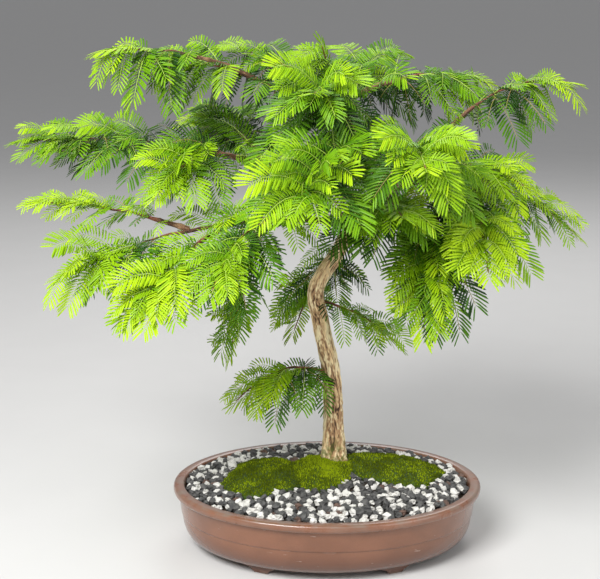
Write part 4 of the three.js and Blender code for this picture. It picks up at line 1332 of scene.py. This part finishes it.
def limb_axis(limb, start, lower):
    """Points along a limb from a fraction of it to its tip, let down by so much."""
    return limb_point(limb, np.linspace(start, 1, STEM_SAMPLES)) - UP * lower


AXES = np.stack([
    limb_axis(limb, max(limb["foot"], HANGS_FROM), HANG) for limb in limbs.values()])
WHOLE_AXES = np.stack([limb_axis(limb, WHOLE_FROM, 0) for limb in limbs.values()])


def in_own_space(limb, spots, slack=SPACE_SLACK):
    """True where the limb's own stem is the nearest of all, or nearly so, at every spot. Its
    stem is let down because its sprays hang under it."""
    away = np.linalg.norm(AXES[:, :, None] - spots, axis=-1).min(1)
    whole = np.linalg.norm(WHOLE_AXES[limb["index"], :, None] - spots, axis=-1).min(0)
    own = np.minimum(away[limb["index"]], whole) - slack
    others = np.delete(away, limb["index"], 0)
    return bool((others > own).all())


def terminal_length(limb):
    """The length of the spray at a limb's tip."""
    return min(TERMINAL, limb["length"] * (1 - limb["foot"]) * TERMINAL_SHARE)


def falling(heading, fall):
    """The direction at a heading that falls so far below the level, both in radians."""
    level = np.array([math.cos(heading), math.sin(heading), 0])
    return level * math.cos(fall) - UP * math.sin(fall)


def hand_of(k):
    """1 for left and -1 for right, by turns."""
    return 1 if k % 2 == 0 else -1


DROOP = 0.1
BOX_MARGIN = 2
REACH = 8.0
RISE = 14.0
THIN_RISE = 3.0
THIN_LIMBS = {"left_low", "left_hang", "left_pale", "left_far", "left_far_low", "left_top",
              "left_top_tip", "right_top", "right_far", "right_mid", "apex_left", "apex_right",
              "behind_trunk", "low_left", "low_right"}
FACING_SHARE = 0.72
FARTHEST_ROLL = 1.35
LIGHT = np.array([-0.1, -0.9, 0.75])
CROWN_RADIUS = 150
OUTWARD_WISH = 0.5
sprays = []

for limb in limbs.values():
    low, high = node_box(f"foliage_{limb['name']}")
    limb["thin"] = limb["name"] in THIN_LIMBS
    limb["low"] = low - REACH
    limb["high"] = high + np.array([REACH, REACH, THIN_RISE if limb["thin"] else RISE])
crown_low, crown_high = (np.array(corner) / MM for corner in model_box)


def in_reach(limb, spots, on_bough):
    """True where every spot keeps to the whole model's box and, past the bough, to the limb's
    packed box, grown a little."""
    low, high = crown_low + BOX_MARGIN, crown_high - BOX_MARGIN
    if not on_bough:
        low, high = np.maximum(limb["low"], low), np.minimum(limb["high"], high)
    return bool(((spots > low) & (spots < high)).all())


def facing_roll(start, heading, fall):
    """How far a blade rolls to turn its upper side outwards, to the front and to the light: a
    share of atan2(wish . side, wish . over), which would turn it all the way."""
    side = sideways(heading)
    over = np.cross(side, falling(heading, fall))
    wish = LIGHT + np.append((start[:2] - TRUNK_FOOT[:2]) / CROWN_RADIUS, 0) * OUTWARD_WISH
    full = math.atan2(float(wish @ side), float(wish @ over))
    return FACING_SHARE * max(-FARTHEST_ROLL, min(FARTHEST_ROLL, full))


def try_spray(limb, start, heading, length, fall, roll, youth_and_shading, droop=DROOP, on_bough=False):
    """Adds a spray at the first size that stays in its limb's own space and reach, and gives
    back its length, or nothing."""
    for size in SIZES:
        end = start + length * size * falling(heading, fall)
        spots = arc(start, end, length * size * droop, 0, heading, TESTED_SHARES)
        if in_own_space(limb, spots) and in_reach(limb, spots, on_bough):
            sprays.append({"limb": limb["index"], "start": start, "end": end, "heading": heading,
                           "length": length * size, "youth_and_shading": youth_and_shading, "droop": droop,
                           "roll": roll + facing_roll(start, heading, fall)})
            return length * size
    return None


def shoots_of(limb):
    """The source's rule: shoots leave the stem by turns to its left and right, longest near
    the middle, and each falls below the level as its limb says."""
    first = limb["foot"] + FIRST_SHOOT / limb["length"]
    last = 1 - terminal_length(limb) * LAST_SHOOT / limb["length"]
    count = max(FEWEST_SHOOTS, int((last - first) * limb["length"] / NODE_STEP + 0.5) + 1)
    for k in range(count):
        f = k / (count - 1)
        row = limb["index"] * SHOOTS_A_ROW + k
        profile = SHORTEST_SHARE + MIDDLE_SWELL * math.sin(math.pi * min(f * EARLY_PEAK, 1))
        yield {
            "row": row,
            "f": f,
            "t": first + (last - first) * f,
            "hand": hand_of(k),
            "splay": math.radians(SPLAY_FIRST + (SPLAY_LAST - SPLAY_FIRST) * f),
            "length": limb["spread"] * profile,
            "fall": limb["fall"],
        }


print("axes sampled:", AXES.shape)


# %% [markdown]
# On the real tree a pair of sprays stands at every node, with younger ones over the stem,
# shaded ones under it, old ones along the bare bough and a fan at the tip. The youth that each
# spray is dealt picks its green, and it paints light on those over the stem and shade on those
# under it. All of them could come from one long loop, but a short function for each kind can
# be read and changed alone.


# %% Grow the sprays
ARCHED = 0.17
CLUSTER = 5
OFFSHOOTS = (0.14, 0.68), (0.3, 0.6)
OFFSHOOT_TURN = (46, 20)
OFFSHOOT_FALL = 0.7
OFFSHOOT_OLDER = 0.04
UPPER_SPLAY = 38
UPPER_LENGTH = 0.64
UPPER_RISE = 16
HANGING_FALL = 42
HEADING_PLAY = 24
LENGTH_PLAY = 0.24
FALL_PLAY = 22
ROLL_PLAY = math.radians(36)
PARTNER_LENGTH = 0.86
PARTNER_FALL = 0.7
OFFSHOOT_PARENT = 44
PAIR_YOUTH = (0.12, 0.45, 0.5)
# painted light in part: sprays over the stem are dealt more youth, so brighter greens, than those
# beside and under it
UPPER_YOUTH = (0.34, 0.42, 0.45)
BOUGH_STEP = 17
BOUGH_ROWS = 2000
BOUGH_BARE = 0.22
TIP_ROWS = 4000
TIP_YOUTH, TIP_DROOP = (0.75, 0.3), 0.06
FAN_PLACE = (0.2, 0.75)
FAN_TURN = (24, 34)
FAN_FALL = (0.9, -1.2)
FAN_LENGTH = (0.42, 0.2)
FAN_YOUTH_PLAY = 0.2
UNDERS_MISSED = 0.4
KINDS = {
    # the under kind's low youth is painted shade: it deals deep greens to sprays under the stems
    "under": {"turn": (30, 60, 52), "fall": (46, 28, 53), "length": (0.62, 0.26, 54),
              "youth_and_shading": (0.05, 0.4, 56), "roll": (36, 55), "droop": DROOP, "on_bough": False},
    "bough": {"turn": (46, 46, 2), "fall": (-30, 66, 3), "length": (0.5, 0.26, 4),
              "youth_and_shading": (0.2, 0.6, 6), "roll": (40, 5), "droop": ARCHED, "on_bough": True},
}


def youth_of(shoot, kind, draw):
    """How young a spray is, which also paints light on upper sprays and shade on lower ones:
    its kind's least, more of it towards the tip, and some chance.
    """
    least, rise, spread = kind
    return least + rise * shoot["f"] + spread * play(shoot["row"], draw)


def grow_pair(limb, shoot):
    """The source's shoot and its partner across the stem. A long one bears two offshoots, or
    on a thin limb one."""
    row = shoot["row"]
    start = limb_point(limb, shoot["t"])
    for partner in (0, 1):
        draw = 1 + 10 * partner
        hand = -shoot["hand"] if partner else shoot["hand"]
        turned = math.radians(HEADING_PLAY) * play(row, draw)
        heading = limb["bearing"] + shoot["splay"] * hand + turned
        length = shoot["length"] * (1 + LENGTH_PLAY * play(row, draw + 1))
        fall = shoot["fall"]
        if partner:
            length, fall = length * PARTNER_LENGTH, fall * PARTNER_FALL
        fall = math.radians(fall + FALL_PLAY * play(row, draw + 2))
        roll = ROLL_PLAY * play(row, draw + 3)
        youth_and_shading = youth_of(shoot, PAIR_YOUTH, draw + 5)
        grown = try_spray(limb, start, heading, length, fall, roll, youth_and_shading)
        if grown is None or grown < OFFSHOOT_PARENT:
            continue
        end = start + grown * falling(heading, fall)
        for number, (at, share) in enumerate(OFFSHOOTS[:1] if limb["thin"] else OFFSHOOTS):
            side = hand if number == 0 else -hand
            root = arc(start, end, grown * DROOP, 0, heading, at)
            turn = side * math.radians(between(row, draw + 6 + number, *OFFSHOOT_TURN))
            try_spray(limb, root, heading + turn, grown * share, fall * OFFSHOOT_FALL, -roll,
                      youth_and_shading - OFFSHOOT_OLDER, ARCHED)


def grow_uppers(limb, shoot):
    """Two sprays over the stem that lean forward to its left and right, rise, and arch back
    down; the first is the source's own, and all that a thin limb has. They are dealt more
    youth than those below, so they come out brighter: partly young growth and partly painted
    light on the tops of the layers."""
    row = shoot["row"]
    start = limb_point(limb, shoot["t"])
    hands = (shoot["hand"],) if limb["thin"] else (shoot["hand"], -shoot["hand"])
    for partner, hand in enumerate(hands):
        draw = 5 + 35 * partner
        turned = UPPER_SPLAY * hand + HEADING_PLAY * play(row, draw)
        heading = limb["bearing"] + math.radians(turned)
        length = limb["spread"] * UPPER_LENGTH * (1 + LENGTH_PLAY * play(row, draw + 1))
        fall = -UPPER_RISE - FALL_PLAY * play(row, draw + 2)
        if limb["fall"] >= HANGING_FALL:
            fall = limb["fall"] / 2
        roll = ROLL_PLAY * play(row, draw + 3)
        youth_and_shading = youth_of(shoot, UPPER_YOUTH, draw + 4)
        try_spray(limb, start, heading, length, math.radians(fall), roll, youth_and_shading, ARCHED)


def grow_kind(limb, kind, row, t, hand):
    """One spray of a kind. Each entry of the kind is the least it can be, the span that
    chance adds to it, and the draw; the length is a share of the limb's spread."""
    look = KINDS[kind]
    turn, fall, length, youth_and_shading = (
        between(row, draw, least, span)
        for least, span, draw in (look[key] for key in ("turn", "fall", "length", "youth_and_shading")))
    roll_play, roll_draw = look["roll"]
    try_spray(limb, limb_point(limb, t), limb["bearing"] + hand * math.radians(turn),
              limb["spread"] * length, math.radians(fall),
              math.radians(roll_play) * play(row, roll_draw), youth_and_shading, look["droop"],
              look["on_bough"])


def grow_unders(limb, shoot):
    """A shaded spray that hangs steeply under the stem, at about six nodes in ten, but none
    on the left, where the limbs are thin and open. Its low youth deals it the deep greens,
    which are painted shade."""
    if limb["region"] != "left" and chance(shoot["row"], 51) >= UNDERS_MISSED:
        grow_kind(limb, "under", shoot["row"], shoot["t"], shoot["hand"])


def grow_on_bough(limb):
    """Old, deep green sprays along the bare bough, by turns to its left and right."""
    count = int(limb["foot"] * limb["length"] / BOUGH_STEP)
    for k in range(count):
        row = limb["index"] * SHOOTS_A_ROW + k + BOUGH_ROWS
        t = limb["foot"] * (BOUGH_BARE + (1 - BOUGH_BARE) * (k + chance(row, 1)) / count)
        grow_kind(limb, "bough", row, t, hand_of(k))


def grow_tip(limb):
    """The leading spray and a fan of short young ones beside it."""
    length = terminal_length(limb)
    start = limb_point(limb, 1 - length / limb["length"])
    youth_and_shading = TIP_YOUTH[0] + TIP_YOUTH[1] * play(limb["index"], 36)
    sprays.append({"limb": limb["index"], "start": start, "end": limb["tip"],
                   "heading": limb["bearing"], "length": length, "roll": 0.0, "youth_and_shading": youth_and_shading,
                   "droop": TIP_DROOP})
    for k in range(CLUSTER):
        row = limb["index"] * CLUSTER + k + TIP_ROWS
        back = (FAN_PLACE[0] + FAN_PLACE[1] * k / CLUSTER) * length
        root = limb_point(limb, 1 - back / limb["length"])
        turn = limb["bearing"] + hand_of(k) * math.radians(between(row, 1, *FAN_TURN))
        fall = math.radians(limb["fall"] * between(row, 3, *FAN_FALL))
        try_spray(limb, root, turn, length * between(row, 2, *FAN_LENGTH), fall,
                  ROLL_PLAY * play(row, 4), youth_and_shading + FAN_YOUTH_PLAY * play(row, 5), ARCHED)


def grow_sprays(limb):
    """Everything that one limb bears, from its bough to its tip."""
    grow_on_bough(limb)
    for shoot in shoots_of(limb):
        grow_pair(limb, shoot)
        grow_uppers(limb, shoot)
        grow_unders(limb, shoot)
    grow_tip(limb)


for limb in limbs.values():
    grow_sprays(limb)
SPRAY = {key: np.array([spray[key] for spray in sprays]) for key in sprays[0]}
print("sprays:", len(sprays), "mean length:", round(float(SPRAY["length"].mean()), 1), "mm")

# %% [markdown]
# ## Needles
# A needle is a slender closed strip with a low ridge: two rings of three corners between
# a point at each end, so it has 12 faces and still bends. Needles stand in pairs along a
# spray's rib, wide open at its foot and swept forward at its tip. They are longest in the
# middle, curve forward, and sag, and they stand closer on young sprays than on old ones. All
# of them are worked out at once, one row of an array for each needle, and then dealt out to a
# few plain tones of green: young sprays and the ends of all sprays are lime, old ones near the
# trunk are deep green, and the deep greens also paint the shade under the layers and inside
# the crown.

# %% Where the needles stand
PAIR_STEP = 2.6
LOOSENESS = 0.8
NEEDLE_SHARE = 0.24
PLUMPNESS = 0.14
NEEDLE_SHORTEST = 8.5
NEEDLE_LONGEST = 18.0
FEWEST_PAIRS = 6
FIRST_PAIR = 0.8


def rib_point(which, s):
    """A place on the ribs of the sprays numbered in which: straight, lifted by 4 s (1 - s)."""
    s = s[..., None]
    lift = (SPRAY["droop"] * SPRAY["length"])[which][..., None] * 4 * s * (1 - s)
    return SPRAY["start"][which] * (1 - s) + SPRAY["end"][which] * s + UP * lift


def rib_frame(which, s):
    """Along the rib, across the blade to its right, and over it. Across is level, turned
    about the rib by the spray's roll."""
    along = unit(rib_point(which, s + 0.01) - rib_point(which, s - 0.01))
    level = sideways(SPRAY["heading"][which])
    roll = SPRAY["roll"][which][..., None]
    across = unit(level * np.cos(roll) + np.cross(along, level) * np.sin(roll))
    return along, across, unit(np.cross(across, along))


pair_steps = PAIR_STEP + LOOSENESS * (0.5 - np.clip(SPRAY["youth_and_shading"], 0, 1))
pairs = np.maximum(FEWEST_PAIRS, np.round(SPRAY["length"] / pair_steps)).astype(int)
pair_spray = np.repeat(np.arange(len(sprays)), pairs)
pair_number = np.arange(len(pair_spray)) - np.repeat(np.cumsum(pairs) - pairs, pairs)
pair_share = (pair_number + FIRST_PAIR) / pairs[pair_spray]
needle_spray = np.repeat(pair_spray, 2)
needle_share = np.repeat(pair_share, 2)
needle_hand = np.tile([1.0, -1.0], len(pair_spray))
needle_row = np.arange(len(needle_spray))
print("needles:", len(needle_spray))

# %% [markdown]
# A needle could be one mesh copied many times, but then all needles would bend alike. Here
# each has its own length, angle, sag and twist, and those that would cut into the trunk are
# found and left out.

# %% The needles' shape
OPEN_ANGLE = 80
SWEPT_ANGLE = 36
SWEEP_POWER = 2.6
NEEDLE_STATIONS = np.array([0.0, 0.36, 0.88, 1.0])
NEEDLE_WIDTHS = np.array([1.0, 0.92])
NEEDLE_WIDTH = 0.88
NEEDLE_RIDGE = 0.4
NEEDLE_LIFT = 8
ANGLE_PLAY, LIFT_PLAY, TWIST_PLAY = 7, 14, 40
NEEDLE_CURVE = 0.26
NEEDLE_SAG, SAG_PLAY = (0.1, 0.24), 0.08
USUAL_LENGTH = 14
NEEDLE_PLAY, WIDTH_PLAY = 0.14, 0.2
FULLNESS = (0, 0.6), (0.1, 0.88), (0.3, 1.0), (0.85, 1.0), (1, 0.7)
TRUNK_SAMPLES = np.linspace(0, 1, 60)
NEEDLES_FROM_BARK = 1.5


def needle_points():
    """The points of all needles, eight each: two rings of three, a foot and a tip. The angle
    to the rib is open + (swept - open) s^power, and the middle line is base + length
    (u away + curve u^2 along - sag u^2 over)."""
    s, hand, row = needle_share, needle_hand[:, None], needle_row
    along, across, over = rib_frame(needle_spray, s)
    swept = OPEN_ANGLE + (SWEPT_ANGLE - OPEN_ANGLE) * s**SWEEP_POWER
    angle = np.radians(swept + ANGLE_PLAY * play(row, 61))[:, None]
    lift = NEEDLE_LIFT + LIFT_PLAY * play(row, 62) + LIFT_PLAY * play(needle_spray, 66)
    lift = np.radians(lift)[:, None]
    away = np.cos(angle) * along + np.sin(angle) * hand * across
    away = unit(away * np.cos(lift) + over * np.sin(lift))
    full = np.interp(s, *zip(*FULLNESS))
    plump = between(np.arange(len(sprays)), 70, NEEDLE_SHARE, PLUMPNESS)
    base_length = np.clip(plump * SPRAY["length"], NEEDLE_SHORTEST, NEEDLE_LONGEST)
    length = base_length[needle_spray] * full * (1 + NEEDLE_PLAY * play(row, 63))
    sag = between(needle_spray, 64, *NEEDLE_SAG) + SAG_PLAY * play(row, 65)
    sag = sag[:, None, None]
    u = NEEDLE_STATIONS[None, :, None]
    bent = u * away[:, None] + NEEDLE_CURVE * u**2 * along[:, None] - sag * u**2 * over[:, None]
    line = rib_point(needle_spray, s)[:, None] + bent * length[:, None, None]
    twist = np.radians(TWIST_PLAY * play(row, 67))[:, None]
    flat = unit(np.cross(away, over))
    thick = np.cross(flat, away)
    wide = flat * np.cos(twist) + thick * np.sin(twist)
    high = thick * np.cos(twist) - flat * np.sin(twist)
    width = NEEDLE_WIDTH * (length / USUAL_LENGTH) ** 0.5 * (1 + WIDTH_PLAY * play(row, 68))
    half = width[:, None] * NEEDLE_WIDTHS
    ridge = NEEDLE_RIDGE * half
    rings = np.stack([
        line[:, 1:3] + high[:, None] * ridge[..., None],
        line[:, 1:3] + wide[:, None] * half[..., None],
        line[:, 1:3] - wide[:, None] * half[..., None],
    ], 2)
    rings = rings.reshape(len(s), 6, 3)
    return np.concatenate([rings, line[:, :1], line[:, 3:]], 1)


def needle_faces():
    """Triangles between the rings and the two ends of one needle."""
    quads, fans = ring_faces(2, 3)
    halves = np.vstack([quads[:, [0, 1, 2]], quads[:, [0, 2, 3]]])
    return np.vstack([halves, fans])


all_needles = needle_points()
middles = all_needles[:, [3, 7]]
inside = np.zeros(len(middles), bool)
for spot, radius in zip(trunk_point(TRUNK_SAMPLES), trunk_radius(TRUNK_SAMPLES)):
    away = np.linalg.norm(middles - spot, axis=-1)
    inside |= (away < radius + NEEDLES_FROM_BARK).any(1)
print("needles that would cut the trunk:", int(inside.sum()))

# %% [markdown]
# Tones are dealt out by spray: each spray has an age, which also carries painted light and
# shade, its outer part counts as younger, and the age picks one of five plain greens. Some
# limbs are set paler or deeper as a whole: the deeper ones, mostly at the back, behind the
# trunk and in the middle of the crown, are painted shade, and a few outer limbs are set
# paler. A joined mesh holds one tone of one region of the crown, so each stands for the
# foliage nodes of its own region.

# %% Deal out the tones
TONES = {
    "deep": {"main": linear(32, 64, 4), "other": linear(28, 68, 14), "slot": "needles_deep"},
    "mid": {"main": linear(72, 116, 4), "other": linear(58, 104, 10), "slot": "needles_green"},
    "green": {"main": linear(106, 152, 4), "other": linear(92, 140, 8), "slot": "needles_green"},
    "bright": {"main": linear(137, 177, 10), "other": linear(123, 167, 10), "slot": "needles_lime"},
    "lime": {"main": linear(164, 197, 16), "other": linear(150, 187, 12), "slot": "needles_lime"},
}
TONE_EDGES = [0.12, 0.33, 0.57, 0.85]
OUTER_YOUTH = 0.34
AGE_MIDDLE, AGE_PLAY = 0.55, 0.1
# painted shade: the negative tints deepen limbs at the back, behind the trunk and in the crown's
# middle; the positive ones make a few outer limbs paler
LIMB_TINTS = {
    "left_pale": 0.24, "left_low": 0.1, "left_low_front": 0.16, "left_inner": -0.1,
    "left_far": -0.14, "left_far_low": -0.1, "back_left": -0.14, "leader": -0.1,
    "left_top_tip": 0.08, "apex_left": -0.08, "back_high": -0.12, "front_top": -0.14,
    "front_left": -0.12, "front_low": -0.14, "apex_right": -0.08, "right_mid": 0.08,
    "right_far": 0.12, "right_front": 0.08, "right_hang": -0.06, "right_back": -0.1,
    "back": -0.18, "behind_trunk": -0.2,
}
tint = np.array([LIMB_TINTS.get(name, 0.0) for name in limbs])[SPRAY["limb"]]
age_and_shading = (SPRAY["youth_and_shading"] + tint)[needle_spray]
age_and_shading = age_and_shading + OUTER_YOUTH * (needle_share - AGE_MIDDLE) + AGE_PLAY * play(needle_row, 69)
tone_number = np.digitize(age_and_shading, TONE_EDGES)
regions = list(LIMBS)
limb_region = np.array([regions.index(limb["region"]) for limb in limbs.values()])
needle_region = limb_region[SPRAY["limb"][needle_spray]]
template = needle_faces()
for number, (tone, look) in enumerate(TONES.items()):
    material = mottled(f"needles_{tone}", look["main"], look["other"], share=0.8, broad=9,
                       fine=0.8, roughness=0.45, bump=0.0, grain=0.3, Specular_IOR_Level=0.24)
    for place, region in enumerate(regions):
        mine = (tone_number == number) & (needle_region == place) & ~inside
        points = all_needles[mine].reshape(-1, 3)
        names = [f"foliage_{limb['name']}" for limb in limbs.values() if limb["region"] == region]
        add_piece(f"needles_{tone}_{region}", points, [repeated(template, int(mine.sum()), 8)],
                  material, look["slot"], names, smooth=False)

# %% [markdown]
# ## Ribs
# Each spray's rib is a thin shoot, pale green and round, thicker where it leaves its stem.
# The needles could hide it, but from below it shows as a light line, so it is a thin tube of
# its own. Ribs of old sprays have turned brown.

# %% Ribs of the sprays
RIB_STATIONS = 6
RIB_SIDES = 4
RIB_FOOT_RADIUS = 0.62
RIB_TIP_RADIUS = 0.26
RIB_END = 0.985
FULL_RIB = 60
RIPE = 0.3


def rib_tubes(chosen):
    """Tubes along the ribs of the chosen sprays, all with the same rings."""
    share = np.broadcast_to(np.linspace(0, RIB_END, RIB_STATIONS), (len(chosen), RIB_STATIONS))
    which = np.broadcast_to(chosen[:, None], share.shape)
    along, across, over = rib_frame(which, share)
    radius = RIB_FOOT_RADIUS + (RIB_TIP_RADIUS - RIB_FOOT_RADIUS) * share
    radius = radius * np.sqrt(SPRAY["length"][which] / FULL_RIB)
    centre = rib_point(which, share)
    points = tube_rings(centre, across, over, radius[..., None] * np.ones(RIB_SIDES), RIB_SIDES)
    points = points.reshape(len(chosen), -1, 3)
    return np.concatenate([points, centre[:, :1], centre[:, -1:] + along[:, -1:] * 0.4], 1)


RIBS = {
    "young": mottled("ribs_young", linear(176, 206, 84), linear(158, 190, 66), share=0.8,
                     broad=7, fine=0.6, roughness=0.5, bump=0.0),
    "ripe": mottled("ribs_ripe", linear(150, 150, 70), linear(156, 118, 70), share=0.9,
                    broad=9, fine=0.6, roughness=0.55, bump=0.0),
}
ripe = SPRAY["youth_and_shading"] < RIPE
for name, mine in (("young", ~ripe), ("ripe", ripe)):
    points = rib_tubes(np.flatnonzero(mine))
    add_piece(f"ribs_{name}", points.reshape(-1, 3),
              tube_faces(len(points), RIB_STATIONS, RIB_SIDES), RIBS[name], "twig_bark",
              [f"foliage_{limb}" for limb in limbs])
